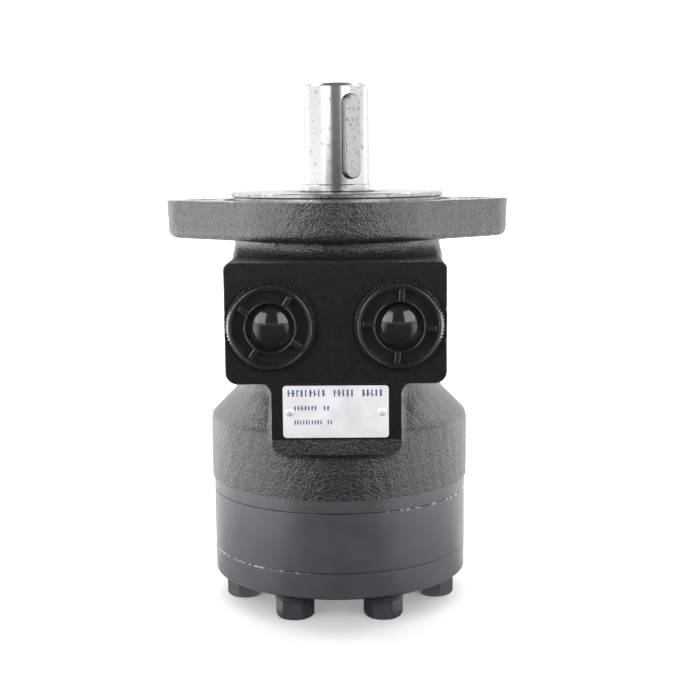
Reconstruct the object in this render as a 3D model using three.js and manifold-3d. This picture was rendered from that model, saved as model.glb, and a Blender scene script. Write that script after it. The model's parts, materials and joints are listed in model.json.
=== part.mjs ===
// Low-speed orbit hydraulic motor: spool-valve type, two-bolt oval flange,
// keyed output shaft, roller gear set of six lobes in seven rollers.
// Units are millimetres. Origin: centre of the output shaft's end face.
// +Z runs out along the shaft, the two ports open towards -Y. The dimensions
// below count Z from the flange's machined face, which is the datum of the
// drawing; the last lines set the whole motor down by the shaft's length.
import * as THREE from 'three';
import { mergeVertices } from 'three/addons/utils/BufferGeometryUtils.js';
import Module from 'manifold-3d';

const wasm = await Module();
wasm.setup();

// ---------------------------------------------------------------- dimensions
const FLANGE_T = 14.5;          // flange thickness
const FLANGE_R = 49.0;          // central arc of the oval flange
const FLANGE_END_R = 13.1;      // end radius round each bolt hole
const BOLT_X = 53.2;            // bolt holes sit at +-BOLT_X (106.4 apart)
const BOLT_HOLE_R = 6.75;
const PILOT_R = 41.25;          // spigot, 82.5 diameter
const PILOT_Z = 2.9;
const RELIEF_R = 44.3;          // outer radius of the groove round the spigot
const RELIEF_D = 0.8;

const SHAFT_R = 12.7;           // 25.4 diameter
const SHAFT_END = 44.0;
const SHAFT_CHAMFER = 1.3;
const COLLAR_R = 13.3;          // slightly larger seal journal below the fit
const COLLAR_Z = 5.7;
const KEY_W = 6.35;
const KEY_L = 31.75;
const KEY_Z0 = 7.95;            // lower end of the key
const KEY_TOP_R = 15.45;
const KEY_FLOOR_R = 9.1;
const KEY_AZ = -90 + 25.5;      // direction of the key about Z, degrees

const NECK_R = 40.0;
const BODY_R = 50.6;            // lower cast cylinder
const CONE_Z0 = -73.3;
const CONE_Z1 = -84.0;
const HOUSING_Z = -108.1;       // joint face of the housing

const BLOCK_X = 39.7;           // port block half width
const BLOCK_Y = -53.0;          // machined port face
const BLOCK_Z0 = -64.4;
const BLOCK_Z1 = -20.6;
const BLOCK_RT = 3.0;
const BLOCK_RB = 4.3;
const TONGUE_X = 23.35;         // name-plate pad half width
const TONGUE_Y = -52.6;
const TONGUE_Z = -90.5;
const TONGUE_R = 4.5;

const PORT_X = 22.9;
const PORT_Z = -43.5;
const PORT_R = 10.4;
const PORT_DEPTH = 17.0;
const SPOT_R = 17.0;
const SPOT_D = 0.5;

const PLATE_R = 49.95;          // spacer plate and gear ring
const SPACER_Z = -113.33;
const RING_Z = -136.0;
const COVER_R = 49.9;
const COVER_EDGE_Z = -145.3;
const COVER_Z = -145.9;
const COVER_CHAMFER = 0.6;

const SCREW_PCR = 38.6;         // seven M8 cover screws
const SCREW_AF = 13.0;
const WASHER_R = 8.0;
const WASHER_T = 1.6;
const HEAD_FLANGE_R = 7.85;      // round flange under each hexagon
const HEAD_FLANGE_T = 1.8;
const HEAD_Z = -156.8;
const SCREW_R = 3.9;
const SCREW_TOP = -90.5;

// gear set
const GEAR_RC = 31.0;           // roller centre radius
const GEAR_E = 2.7;             // eccentricity
const ROLLER_R = 6.5;
const GEAR_GAP = 0.1;           // running clearance, rotor to roller
const POCKET_GAP = 0.06;
const RING_BORE = 30.3;
const GEAR_END_GAP = 0.07;

// valve spool and housing bores
const SPOOL_R = 20.44;
const BORE_R = 20.5;
const SPOOL_TOP = -22.0;
const SPOOL_END = -106.5;
const SEAL_R = 20.1;
const LAND_R = 14.8;
const SHOULDER_Z = -17.6;
const GROOVE_A_Z = -38.0;
const GROOVE_B_Z = -66.0;
const TIMING_Z = -52.0;
const PASSAGE_RC = 28.0;
const PASSAGE_R = 2.4;

// drive
const PIVOT_Z = -44.0;          // centre of the upper spline head
const LOWER_Z = -123.6;         // centre of the lower spline head

const D2R = Math.PI / 180;
const rollerAngles = [...Array(7).keys()].map((k) => -90 + (k * 360) / 7);
const screwAngles = rollerAngles.map((a) => a + 180 / 7);

// ------------------------------------------------------------------- helpers
function solid(geometry) {
  const g0 = geometry.clone();
  g0.deleteAttribute('normal');
  g0.deleteAttribute('uv');
  const g = mergeVertices(g0, 1e-4);
  const p = g.getAttribute('position');
  const idx = g.getIndex();
  const tri = [];
  let volume = 0;
  const v = (i) => new THREE.Vector3().fromBufferAttribute(p, i);
  for (let i = 0; i < idx.count; i += 3) {
    const [a, b, c] = [idx.getX(i), idx.getX(i + 1), idx.getX(i + 2)];
    if (a === b || b === c || c === a) continue;
    tri.push(a, b, c);
    volume += v(a).dot(v(b).cross(v(c)));
  }
  if (volume < 0) {
    for (let i = 0; i < tri.length; i += 3) {
      [tri[i + 1], tri[i + 2]] = [tri[i + 2], tri[i + 1]];
    }
  }
  return new wasm.Manifold(new wasm.Mesh({
    numProp: 3,
    vertProperties: new Float32Array(p.array),
    triVerts: new Uint32Array(tri),
  }));
}

function toGeometry(m) {
  const mesh = m.getMesh();
  const g = new THREE.BufferGeometry();
  g.setAttribute('position', new THREE.BufferAttribute(new Float32Array(mesh.vertProperties), 3));
  g.setIndex(new THREE.BufferAttribute(new Uint32Array(mesh.triVerts), 1));
  g.computeVertexNormals();
  return g;
}

const union = (...list) => list.reduce((a, b) => a.add(b));
const cut = (base, ...tools) => tools.reduce((a, b) => a.subtract(b), base);

// body of revolution about Z from a closed profile of [r, z]
function revolve(profile, segments) {
  const pts = profile.map(([r, z]) => new THREE.Vector2(r, z));
  const first = profile[0];
  const last = profile[profile.length - 1];
  if (!(first[0] === 0 && last[0] === 0)) pts.push(new THREE.Vector2(first[0], first[1]));
  const g = new THREE.LatheGeometry(pts, segments);
  g.rotateX(Math.PI / 2);
  return g;
}

const circumscribed = (r, n) => r / Math.cos(Math.PI / n);

// solid cylinder about Z; a hole is circumscribed, a boss is inscribed
function cyl(r, z0, z1, n, x = 0, y = 0) {
  const g = new THREE.CylinderGeometry(r, r, z1 - z0, n);
  g.rotateX(Math.PI / 2);
  g.translate(x, y, (z0 + z1) / 2);
  return solid(g);
}
const hole = (r, z0, z1, n, x = 0, y = 0) => cyl(circumscribed(r, n), z0, z1, n, x, y);

// cylinder between two points
function rod(a, b, r, n) {
  const p = new THREE.Vector3(...a);
  const q = new THREE.Vector3(...b);
  const d = q.clone().sub(p);
  const g = new THREE.CylinderGeometry(r, r, d.length(), n);
  g.applyQuaternion(new THREE.Quaternion().setFromUnitVectors(new THREE.Vector3(0, 1, 0), d.clone().normalize()));
  const m = p.clone().add(q).multiplyScalar(0.5);
  g.translate(m.x, m.y, m.z);
  return solid(g);
}

// shape in the XZ plane extruded along Y from y0 to y1
function extrudeY(shape, y0, y1) {
  const g = new THREE.ExtrudeGeometry(shape, { depth: y1 - y0, bevelEnabled: false, curveSegments: 3 });
  g.rotateX(Math.PI / 2);       // shape y -> z, depth -> -y
  g.translate(0, y1, 0);
  return solid(g);
}

function extrudeZ(shape, z0, z1) {
  const g = new THREE.ExtrudeGeometry(shape, { depth: z1 - z0, bevelEnabled: false, curveSegments: 6 });
  g.translate(0, 0, z0);
  return g;
}

function polygon(points) {
  return new THREE.Shape(points.map(([x, y]) => new THREE.Vector2(x, y)));
}

// rounded rectangle; radii given as bottom and top
function roundRect(x0, x1, y0, y1, rb, rt) {
  const s = new THREE.Shape();
  s.moveTo(x0 + rb, y0);
  s.lineTo(x1 - rb, y0);
  s.absarc(x1 - rb, y0 + rb, rb, -Math.PI / 2, 0, false);
  s.lineTo(x1, y1 - rt);
  s.absarc(x1 - rt, y1 - rt, rt, 0, Math.PI / 2, false);
  s.lineTo(x0 + rt, y1);
  s.absarc(x0 + rt, y1 - rt, rt, Math.PI / 2, Math.PI, false);
  s.lineTo(x0, y0 + rb);
  s.absarc(x0 + rb, y0 + rb, rb, Math.PI, 1.5 * Math.PI, false);
  return s;
}

function polar(r, deg) {
  return [r * Math.cos(deg * D2R), r * Math.sin(deg * D2R)];
}

// o-ring seated in a face groove: round section turned about Z
function oRing(rc, z, r) {
  const prof = [...Array(6).keys()].map((k) => [
    rc + r * Math.cos((k + 0.5) * Math.PI / 3), z + r * Math.sin((k + 0.5) * Math.PI / 3)]);
  return solid(revolve(prof, 26));
}
const faceGroove = (z0, z1) => solid(revolve([[44.1, z0], [46.9, z0], [46.9, z1], [44.1, z1]], 30));

// ----------------------------------------------------------------- materials
const paint = (color, roughness, metalness) =>
  new THREE.MeshStandardMaterial({ color, roughness, metalness, flatShading: true });
const CAST = paint('#35373a', 0.62, 0.2);
const PAINTED = paint('#43464a', 0.48, 0.25);
const BLACK_STEEL = paint('#24272c', 0.42, 0.5);
const BRIGHT = paint('#c9c7c5', 0.28, 1.0);
const GROUND = paint('#a7a9ab', 0.22, 1.0);
const RUBBER = paint('#1b1b1c', 0.8, 0.0);
const PLASTIC = paint('#121315', 0.25, 0.0);
const PLATE = paint('#dfe1e6', 0.35, 0.7);

const motor = new THREE.Group();
function part(name, manifold, material) {
  const mesh = new THREE.Mesh(toGeometry(manifold), material);
  mesh.name = name;
  motor.add(mesh);
  return mesh;
}

// ------------------------------------------------------------------- housing
function flangeOutline() {
  const a = Math.acos((FLANGE_R - FLANGE_END_R) / BOLT_X) / D2R;
  const pts = [];
  const arc = (cx, r, from, to, n) => {
    for (let i = 0; i <= n; i++) {
      const [x, y] = polar(r, from + ((to - from) * i) / n);
      pts.push([cx + x, y]);
    }
  };
  arc(0, FLANGE_R, a, 180 - a, 12);
  arc(-BOLT_X, FLANGE_END_R, 180 - a, 180 + a, 7);
  arc(0, FLANGE_R, 180 + a, 360 - a, 12);
  arc(BOLT_X, FLANGE_END_R, -a, a, 7);
  return polygon(pts);
}

function buildHousing() {
  const bevel = 3.0;
  const fg = new THREE.ExtrudeGeometry(flangeOutline(), {
    depth: FLANGE_T, bevelEnabled: true, bevelThickness: bevel, bevelSize: bevel,
    bevelOffset: -bevel, bevelSegments: 2, curveSegments: 4 });
  fg.translate(0, 0, -FLANGE_T + bevel);
  const above = new THREE.BoxGeometry(200, 200, 40);
  above.translate(0, 0, 20);
  const flange = solid(fg).subtract(solid(above));

  const pilot = solid(revolve([[0, -2], [PILOT_R, -2], [PILOT_R, PILOT_Z - 0.8],
    [PILOT_R - 0.8, PILOT_Z], [0, PILOT_Z]], 44));
  const groove = solid(revolve([[PILOT_R, -RELIEF_D], [RELIEF_R, -RELIEF_D], [RELIEF_R, 1], [PILOT_R, 1]], 44));
  const trunk = solid(revolve([[0, -8], [NECK_R, -8], [NECK_R, CONE_Z0], [BODY_R, CONE_Z1],
    [BODY_R, HOUSING_Z], [0, HOUSING_Z]], 44));
  const block = extrudeY(roundRect(-BLOCK_X, BLOCK_X, BLOCK_Z0, BLOCK_Z1, BLOCK_RB, BLOCK_RT), BLOCK_Y, 5);
  const tongue = extrudeY(roundRect(-TONGUE_X, TONGUE_X, TONGUE_Z, BLOCK_Z0 + 12, TONGUE_R, 1), TONGUE_Y, 5);
  const boss = rod([0, 30, -30], [0, 42, -30], 11.5, 20);

  let body = union(flange.subtract(groove), pilot, trunk, block, tongue, boss);

  const tools = [
    hole(SEAL_R, -13.6, PILOT_Z + 1, 28),
    hole(LAND_R, -18.5, -13, 24),
    hole(BORE_R, HOUSING_Z - 1, SHOULDER_Z, 36),
    hole(BOLT_HOLE_R, -FLANGE_T - 1, 1, 18, BOLT_X, 0),
    hole(BOLT_HOLE_R, -FLANGE_T - 1, 1, 18, -BOLT_X, 0),
    faceGroove(HOUSING_Z - 1, HOUSING_Z + 2),
    rod([0, 31, -30], [0, 43, -30], 5.8, 14),
    rod([0, 32, -30], [0, 18.5, -20.2], 1.6, 8),
  ];
  for (const s of [-1, 1]) {
    tools.push(rod([s * PORT_X, BLOCK_Y - 1, PORT_Z], [s * PORT_X, BLOCK_Y + SPOT_D, PORT_Z], SPOT_R, 28));
    tools.push(rod([s * PORT_X, BLOCK_Y - 1, PORT_Z], [s * PORT_X, BLOCK_Y + PORT_DEPTH, PORT_Z],
      circumscribed(PORT_R, 20), 20));
  }
  tools.push(rod([-PORT_X + 1, -37.5, PORT_Z + 1], [-15.2, -12.2, GROOVE_A_Z], 4.2, 10));
  tools.push(rod([PORT_X + 1, -37.5, PORT_Z - 2], [15.6, -12.4, GROOVE_B_Z], 3.8, 10));
  for (const a of screwAngles) {
    const [sx, sy] = polar(SCREW_PCR, a);
    tools.push(hole(SCREW_R + 0.2, HOUSING_Z - 1, SCREW_TOP + 2.5, 8, sx, sy));
    const [px, py] = polar(PASSAGE_RC, a);
    const [qx, qy] = polar(SPOOL_R - 1.5, a);
    tools.push(cyl(PASSAGE_R, HOUSING_Z - 1, TIMING_Z, 6, px, py));
    tools.push(rod([px, py, TIMING_Z - 2], [qx, qy, TIMING_Z - 2], PASSAGE_R - 0.2, 6));
  }
  for (const a of [rollerAngles[2], rollerAngles[5]]) {
    const [cx, cy] = polar(32, a);
    const [qx, qy] = polar(19, a);
    tools.push(cyl(3.35, HOUSING_Z - 1, -95, 12, cx, cy));
    tools.push(rod([cx, cy, -97], [qx, qy, -97], 1.2, 6));
  }
  for (const x of [-16.9, 16.5]) tools.push(rod([x, TONGUE_Y - 1, -74.4], [x, TONGUE_Y + 5, -74.4], 1.15, 8));
  return cut(body, ...tools);
}
part('housing', buildHousing(), CAST);

// -------------------------------------------------- plates, gear ring, cover
function buildSpacer() {
  const tools = [hole(14.5, SPACER_Z - 1, HOUSING_Z + 1, 24), faceGroove(SPACER_Z - 1, SPACER_Z + 2)];
  for (const a of screwAngles) {
    tools.push(hole(SCREW_R + 0.4, SPACER_Z - 1, HOUSING_Z + 1, 8, ...polar(SCREW_PCR, a)));
    tools.push(cyl(PASSAGE_R, SPACER_Z - 1, HOUSING_Z + 1, 6, ...polar(PASSAGE_RC, a)));
  }
  return cut(cyl(PLATE_R, SPACER_Z, HOUSING_Z, 44), ...tools);
}
part('spacer_plate', buildSpacer(), PAINTED);

function buildStator() {
  const tools = [hole(RING_BORE, RING_Z - 1, SPACER_Z + 1, 35)];
  for (const a of rollerAngles) tools.push(hole(ROLLER_R + POCKET_GAP, RING_Z - 1, SPACER_Z + 1, 20, ...polar(GEAR_RC, a)));
  for (const a of screwAngles) tools.push(hole(SCREW_R + 0.4, RING_Z - 1, SPACER_Z + 1, 8, ...polar(SCREW_PCR, a)));
  return cut(cyl(PLATE_R, RING_Z, SPACER_Z, 44), ...tools);
}
part('stator_ring', buildStator(), PAINTED);

function buildCover() {
  const tools = [faceGroove(RING_Z - 2, RING_Z + 1)];
  for (const a of screwAngles) tools.push(hole(SCREW_R + 0.4, COVER_Z - 1, RING_Z + 1, 8, ...polar(SCREW_PCR, a)));
  const base = solid(revolve([[0, COVER_Z], [COVER_R - COVER_CHAMFER, COVER_Z], [COVER_R, COVER_EDGE_Z],
    [COVER_R, RING_Z], [0, RING_Z]], 44));
  return cut(base, ...tools);
}
part('end_cover', buildCover(), PAINTED);

// -------------------------------------------------------------- cover screws
const headTop = COVER_Z - WASHER_T;
for (let k = 0; k < 7; k++) {
  const [x, y] = polar(SCREW_PCR, screwAngles[k]);
  const hex = new THREE.CylinderGeometry(SCREW_AF / Math.sqrt(3), SCREW_AF / Math.sqrt(3), headTop - HEAD_Z, 6);
  hex.rotateX(Math.PI / 2);
  hex.rotateZ((screwAngles[k] + 90) * D2R + (k * 17) * D2R);
  hex.translate(x, y, (headTop + HEAD_Z) / 2);
  const dome = revolve([[0, HEAD_Z], [5.9, HEAD_Z], [7.7, HEAD_Z + 1.5], [7.7, headTop], [0, headTop]], 12);
  dome.translate(x, y, 0);
  const head = solid(hex).intersect(solid(dome)).add(cyl(HEAD_FLANGE_R, headTop - HEAD_FLANGE_T, headTop, 14, x, y));
  part(`cover_screw_${k + 1}`, head.add(cyl(SCREW_R, headTop - 1, SCREW_TOP, 8, x, y)), BLACK_STEEL);
  const ring = revolve([[SCREW_R + 0.35, headTop], [WASHER_R, headTop], [WASHER_R, COVER_Z], [SCREW_R + 0.35, COVER_Z]], 14);
  ring.translate(x, y, 0);
  part(`screw_washer_${k + 1}`, solid(ring), BLACK_STEEL);
}

// -------------------------------------------------------------- output shaft
// spline star: twelve grooves, radii and half angles of the groove at root and tip
function splineStar(rOut, aOut, rIn, aIn) {
  const pts = [];
  for (let k = 0; k < 12; k++) {
    const c = k * 30;
    pts.push(polar(rIn, c - aIn), polar(rOut, c - aOut), polar(rOut, c + aOut), polar(rIn, c + aIn));
  }
  return polygon(pts);
}
const internalStar = splineStar(12.9, 6.0, 11.3, 10.5);
const externalStar = splineStar(12.45, 4.97, 10.85, 9.13);

function keySlot(halfWidth, z0, z1, r0, r1) {
  const s = new THREE.Shape();
  s.moveTo(halfWidth, z0 + halfWidth);
  s.lineTo(halfWidth, z1 - halfWidth);
  s.absarc(0, z1 - halfWidth, halfWidth, 0, Math.PI, false);
  s.lineTo(-halfWidth, z0 + halfWidth);
  s.absarc(0, z0 + halfWidth, halfWidth, Math.PI, 2 * Math.PI, false);
  const g = new THREE.ExtrudeGeometry(s, { depth: r1 - r0, bevelEnabled: false, curveSegments: 7 });
  g.rotateX(Math.PI / 2);       // now the depth runs along -Y and the shape stands in XZ
  g.translate(0, -r0, 0);
  g.rotateZ((KEY_AZ + 90) * D2R);
  return solid(g);
}

function buildShaft() {
  const body = solid(revolve([
    [0, SPOOL_END], [SPOOL_R - 0.6, SPOOL_END], [SPOOL_R, SPOOL_END + 0.6],
    [SPOOL_R, GROOVE_B_Z - 3.5], [SPOOL_R - 1.6, GROOVE_B_Z - 3.5], [SPOOL_R - 1.6, GROOVE_B_Z + 3.5], [SPOOL_R, GROOVE_B_Z + 3.5],
    [SPOOL_R, GROOVE_A_Z - 3.5], [SPOOL_R - 1.6, GROOVE_A_Z - 3.5], [SPOOL_R - 1.6, GROOVE_A_Z + 3.5], [SPOOL_R, GROOVE_A_Z + 3.5],
    [SPOOL_R, SPOOL_TOP - 0.6], [SPOOL_R - 0.6, SPOOL_TOP], [14.2, SPOOL_TOP], [14.2, -14.2],
    [COLLAR_R, -13.2], [COLLAR_R, COLLAR_Z - 0.3], [COLLAR_R - 0.3, COLLAR_Z], [SHAFT_R, COLLAR_Z],
    [SHAFT_R, SHAFT_END - SHAFT_CHAMFER], [SHAFT_R - SHAFT_CHAMFER, SHAFT_END], [0, SHAFT_END]], 36));
  const tools = [
    cyl(15.2, SPOOL_END - 1, -54, 24),
    solid(extrudeZ(internalStar, -55, -35)),
    cyl(9.5, -36, -33, 16),
    keySlot(KEY_W / 2 + 0.17, KEY_Z0 - 0.25, KEY_Z0 + KEY_L + 0.25, KEY_FLOOR_R - 0.1, 18),
  ];
  // axial timing slots: six from the upper groove, six from the lower one
  for (let k = 0; k < 12; k++) {
    const upper = k % 2 === 0;
    const z0 = upper ? TIMING_Z - 5 : GROOVE_B_Z + 3;
    const z1 = upper ? GROOVE_A_Z - 3 : TIMING_Z + 1;
    const b = new THREE.BoxGeometry(3.4, 4.2, z1 - z0);
    b.translate(0, -(SPOOL_R - 1.6 + 2.1), (z0 + z1) / 2);
    b.rotateZ((k * 30 + 15) * D2R);
    tools.push(solid(b));
  }
  return cut(body, ...tools);
}
part('output_shaft', buildShaft(), BRIGHT);
part('shaft_key', keySlot(KEY_W / 2, KEY_Z0, KEY_Z0 + KEY_L, KEY_FLOOR_R, KEY_TOP_R), BRIGHT);

// ------------------------------------------------------- seals and bearing
part('dust_seal', solid(revolve([[13.42, PILOT_Z - 2.2], [17.0, PILOT_Z - 2.2], [17.0, -3.0], [14.6, -3.4], [14.6, -4.6],
  [20.0, -4.6], [20.0, PILOT_Z - 0.1], [14.4, PILOT_Z - 0.1], [13.42, PILOT_Z + 0.4]], 24)), BRIGHT);
part('shaft_seal', solid(revolve([[14.6, -5.2], [20.0, -5.2], [20.0, -12.0], [15.0, -12.0], [13.42, -11.0], [13.42, -10.2],
  [15.2, -9.2], [15.2, -7.0]], 24)), RUBBER);
part('seal_backup_ring', solid(revolve([[14.6, -13.5], [20.0, -13.5], [20.0, -12.15], [14.6, -12.15]], 24)), BRIGHT);
part('thrust_race', solid(revolve([[14.9, -18.65], [20.3, -18.65], [20.3, SHOULDER_Z - 0.05], [14.9, SHOULDER_Z - 0.05]], 24)), GROUND);
{
  let cage = solid(revolve([[14.9, -21.2], [20.2, -21.2], [20.2, -19.5], [14.9, -19.5]], 24));
  for (let k = 0; k < 12; k++) {
    const a = k * 30 + 3.0;
    cage = cage.add(rod([...polar(15.6, a), -20.33], [...polar(19.5, a), -20.33], 1.55, 6));
  }
  part('thrust_bearing', cage, GROUND);
}

// ------------------------------------------------------------- check valves
[rollerAngles[2], rollerAngles[5]].forEach((a, i) => {
  const [x, y] = polar(32, a);
  const seat = revolve([[1.3, -107.9], [3.15, -107.9], [3.15, -104.0], [1.3, -104.0]], 10);
  seat.translate(x, y, 0);
  part(`check_seat_${i + 1}`, solid(seat), BRIGHT);
  const ball = new THREE.SphereGeometry(2.4, 8, 6);
  ball.rotateX(Math.PI / 2);
  ball.translate(x, y, -101.85);
  part(`check_ball_${i + 1}`, solid(ball), GROUND);
});

// ------------------------------------------------------------------ gear set
function rotorOutline() {
  // the roller centre's path in the rotor's frame, offset inwards by the roller radius,
  // then spaced evenly along its length so that the hollows are as fine as the lobes
  const n = 108;
  const fine = 4320;
  const off = ROLLER_R + GEAR_GAP;
  const curve = [];
  for (let i = 0; i <= fine; i++) {
    const s = (2 * Math.PI * i) / fine;
    const x = GEAR_RC * Math.cos(s) + GEAR_E * Math.cos(7 * s);
    const y = GEAR_RC * Math.sin(s) + GEAR_E * Math.sin(7 * s);
    const dx = -GEAR_RC * Math.sin(s) - 7 * GEAR_E * Math.sin(7 * s);
    const dy = GEAR_RC * Math.cos(s) + 7 * GEAR_E * Math.cos(7 * s);
    const l = Math.hypot(dx, dy);
    curve.push([x - (dy / l) * off, y + (dx / l) * off]);
  }
  const along = [0];
  for (let i = 1; i <= fine; i++) {
    along.push(along[i - 1] + Math.hypot(curve[i][0] - curve[i - 1][0], curve[i][1] - curve[i - 1][1]));
  }
  const pts = [];
  for (let k = 0, i = 0; k < n; k++) {
    const want = (along[fine] * k) / n;
    while (along[i] < want) i++;
    pts.push(curve[i]);
  }
  return polygon(pts);
}
{
  const z0 = RING_Z + GEAR_END_GAP;
  const z1 = SPACER_Z - GEAR_END_GAP;
  const outer = extrudeZ(rotorOutline(), z0, z1);
  const inner = extrudeZ(internalStar, z0 - 1, z1 + 1);
  outer.translate(0, -GEAR_E, 0);
  inner.translate(0, -GEAR_E, 0);
  part('rotor', solid(outer).subtract(solid(inner)), GROUND);
  rollerAngles.forEach((a, i) => part(`roller_${i + 1}`, cyl(ROLLER_R, z0, z1, 16, ...polar(GEAR_RC, a)), GROUND));
  const puck = revolve([[0, z0 + 0.05], [9.6, z0 + 0.05], [10.2, z0 + 0.65], [10.2, -132.2], [9.6, -131.6], [0, -131.6]], 16);
  puck.translate(0, -GEAR_E, 0);
  part('drive_spacer', solid(puck), GROUND);
}

// -------------------------------------------------------------- cardan shaft
{
  const length = PIVOT_Z - LOWER_Z;
  const tilt = Math.atan(GEAR_E / length);
  // built upright about its own axis with the pivot at the origin, then leaned over
  const place = (g) => { g.rotateX(-tilt); g.translate(0, 0, PIVOT_Z); return solid(g); };
  const run = Math.hypot(length, GEAR_E);
  const shank = revolve([[0, -run - 7.2], [7.0, -run - 7.2], [10.2, -run - 6.4], [10.2, -run + 8.4], [8.5, -run + 12.0],
    [8.5, -12.0], [10.2, -9.2], [10.2, 7.6], [7.0, 8.4], [0, 8.4]], 14);
  const upper = extrudeZ(externalStar, -8.2, 7.4);
  const lower = extrudeZ(externalStar, -run - 6.2, -run + 7.4);
  part('cardan_shaft', union(place(shank), place(upper), place(lower)), GROUND);
}

// ------------------------------------------------------------ static o-rings
part('housing_o_ring', oRing(45.5, HOUSING_Z + 1.0, 0.95), RUBBER);
part('spacer_o_ring', oRing(45.5, SPACER_Z + 1.0, 0.95), RUBBER);
part('cover_o_ring', oRing(45.5, RING_Z - 1.0, 0.95), RUBBER);

// ---------------------------------------------------------- name plate, pins
{
  const p0 = TONGUE_Y - 0.5;
  const plate = extrudeY(roundRect(-19.2, 18.8, -84.0, -65.0, 1.2, 1.2), p0, TONGUE_Y);
  const tools = [-16.9, 16.5].map((x) => rod([x, p0 - 1, -74.4], [x, TONGUE_Y + 1, -74.4], 1.2, 10));
  part('name_plate', cut(plate, ...tools), PLATE);
  [['plate_rivet_left', -16.9], ['plate_rivet_right', 16.5]].forEach(([name, x]) => {
    const g = revolve([[0, 0], [1.65, 0], [1.5, 0.6], [0.9, 1.0], [0, 1.1]], 10);
    g.rotateX(Math.PI / 2);
    g.translate(x, p0, -74.4);
    part(name, solid(g).add(rod([x, p0 - 0.2, -74.4], [x, TONGUE_Y + 4, -74.4], 0.95, 8)), BRIGHT);
  });
}

// ----------------------------------------------------------- shipping plugs
function buildPlug(x, z, spin) {
  // turned about its own axis, +Z of the blank points out of the port
  const head = revolve([[0, -14.5], [8.6, -14.5], [9.9, -13.0], [9.9, 0], [15.7, 0], [15.9, 0.3], [15.9, 1.9], [15.1, 4.1], [14.7, 4.5], [0, 4.5]], 28);
  const annulus = revolve([[9.0, 1.8], [14.0, 1.8], [14.2, 6], [8.9, 6]], 24);
  const dish = revolve([[0, 3.0], [4.5, 3.3], [7.6, 4.4], [7.9, 6], [0, 6]], 14);
  const well = revolve([[0, -16], [7.6, -16], [7.6, 0.6], [0, 0.6]], 12);
  let m = solid(head).subtract(solid(annulus)).subtract(solid(dish)).subtract(solid(well));
  for (let k = 0; k < 4; k++) {
    const b = new THREE.BoxGeometry(1.5, 6.2, 2.4);
    b.translate(0, 11.6, 2.6);
    b.rotateZ((spin + 90 * k) * D2R);
    m = m.add(solid(b));
  }
  const out = new THREE.BufferGeometry().copy(toGeometry(m));
  out.rotateX(Math.PI / 2);     // +Z -> -Y
  out.translate(x, BLOCK_Y + SPOT_D - 0.05, z);
  return solid(out);
}
part('port_plug_left', buildPlug(-23.1, -43.6, -33), PLASTIC);
part('port_plug_right', buildPlug(22.7, -43.4, -4), PLASTIC);

// --------------------------------------------------------- drain port (rear)
{
  const seal = revolve([[6.0, 0], [9.4, 0], [9.4, 1.4], [6.0, 1.4]], 16);
  seal.rotateX(-Math.PI / 2);
  seal.translate(0, 42.05, -30);
  part('drain_plug_seal', solid(seal), RUBBER);
  const blank = revolve([[0, -10.5], [5.0, -10.5], [5.6, -9.8], [5.6, 1.45], [8.8, 1.45], [8.8, 4.6], [8.2, 5.2], [0, 5.2]], 16);
  const socket = new THREE.CylinderGeometry(6 / Math.sqrt(3), 6 / Math.sqrt(3), 4, 6);
  socket.rotateX(Math.PI / 2);
  socket.translate(0, 0, 4.2);
  const plug = toGeometry(solid(blank).subtract(solid(socket)));
  plug.rotateX(-Math.PI / 2);
  plug.translate(0, 42.05, -30);
  part('drain_plug', solid(plug), BLACK_STEEL);
}

// datum change: flange face to shaft end
motor.position.z = -SHAFT_END;
const hydraulicMotor = new THREE.Group();
hydraulicMotor.add(motor);
export default hydraulicMotor;
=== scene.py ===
"""Looks for the orbit hydraulic motor. Lengths inside this script are millimetres counted
from the flange's machined face; put() turns them into the row's metres."""
import json
import math

import bpy
import bmesh
import numpy as np
from mathutils import Matrix, Vector
from mathutils.geometry import tessellate_polygon


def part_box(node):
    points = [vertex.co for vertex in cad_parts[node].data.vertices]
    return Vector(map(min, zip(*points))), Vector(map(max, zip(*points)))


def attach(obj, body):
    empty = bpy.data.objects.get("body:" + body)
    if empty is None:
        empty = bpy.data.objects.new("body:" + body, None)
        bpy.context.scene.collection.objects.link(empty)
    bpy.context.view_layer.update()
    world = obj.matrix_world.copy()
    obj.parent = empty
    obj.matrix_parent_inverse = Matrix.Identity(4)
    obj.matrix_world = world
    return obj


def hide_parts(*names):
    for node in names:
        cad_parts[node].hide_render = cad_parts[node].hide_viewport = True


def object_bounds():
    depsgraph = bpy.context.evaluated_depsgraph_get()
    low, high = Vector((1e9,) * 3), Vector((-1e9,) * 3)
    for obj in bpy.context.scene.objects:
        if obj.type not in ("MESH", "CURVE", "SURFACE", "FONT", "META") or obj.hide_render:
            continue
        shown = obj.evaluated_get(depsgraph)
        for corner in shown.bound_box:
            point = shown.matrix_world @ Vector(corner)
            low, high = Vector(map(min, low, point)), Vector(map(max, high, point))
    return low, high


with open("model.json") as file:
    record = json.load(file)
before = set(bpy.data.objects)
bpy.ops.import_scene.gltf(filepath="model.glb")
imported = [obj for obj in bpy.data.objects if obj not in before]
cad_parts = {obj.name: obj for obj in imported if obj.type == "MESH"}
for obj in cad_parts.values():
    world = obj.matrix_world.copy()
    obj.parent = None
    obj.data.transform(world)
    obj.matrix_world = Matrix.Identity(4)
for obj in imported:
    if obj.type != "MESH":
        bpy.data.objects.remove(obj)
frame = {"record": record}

CAD_LO, CAD_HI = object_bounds()
REC = frame["record"]
MOUNT = {m["name"]: m for m in REC["mounts"]}
ZD = MOUNT["mounting_face"]["pos_m"][2]           # flange face in the row frame, metres
TAU = 2 * math.pi
D2R = math.pi / 180
BODY = {n: b for b, ns in REC["behaviour"]["bodies"].items() for n in ns}


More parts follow.
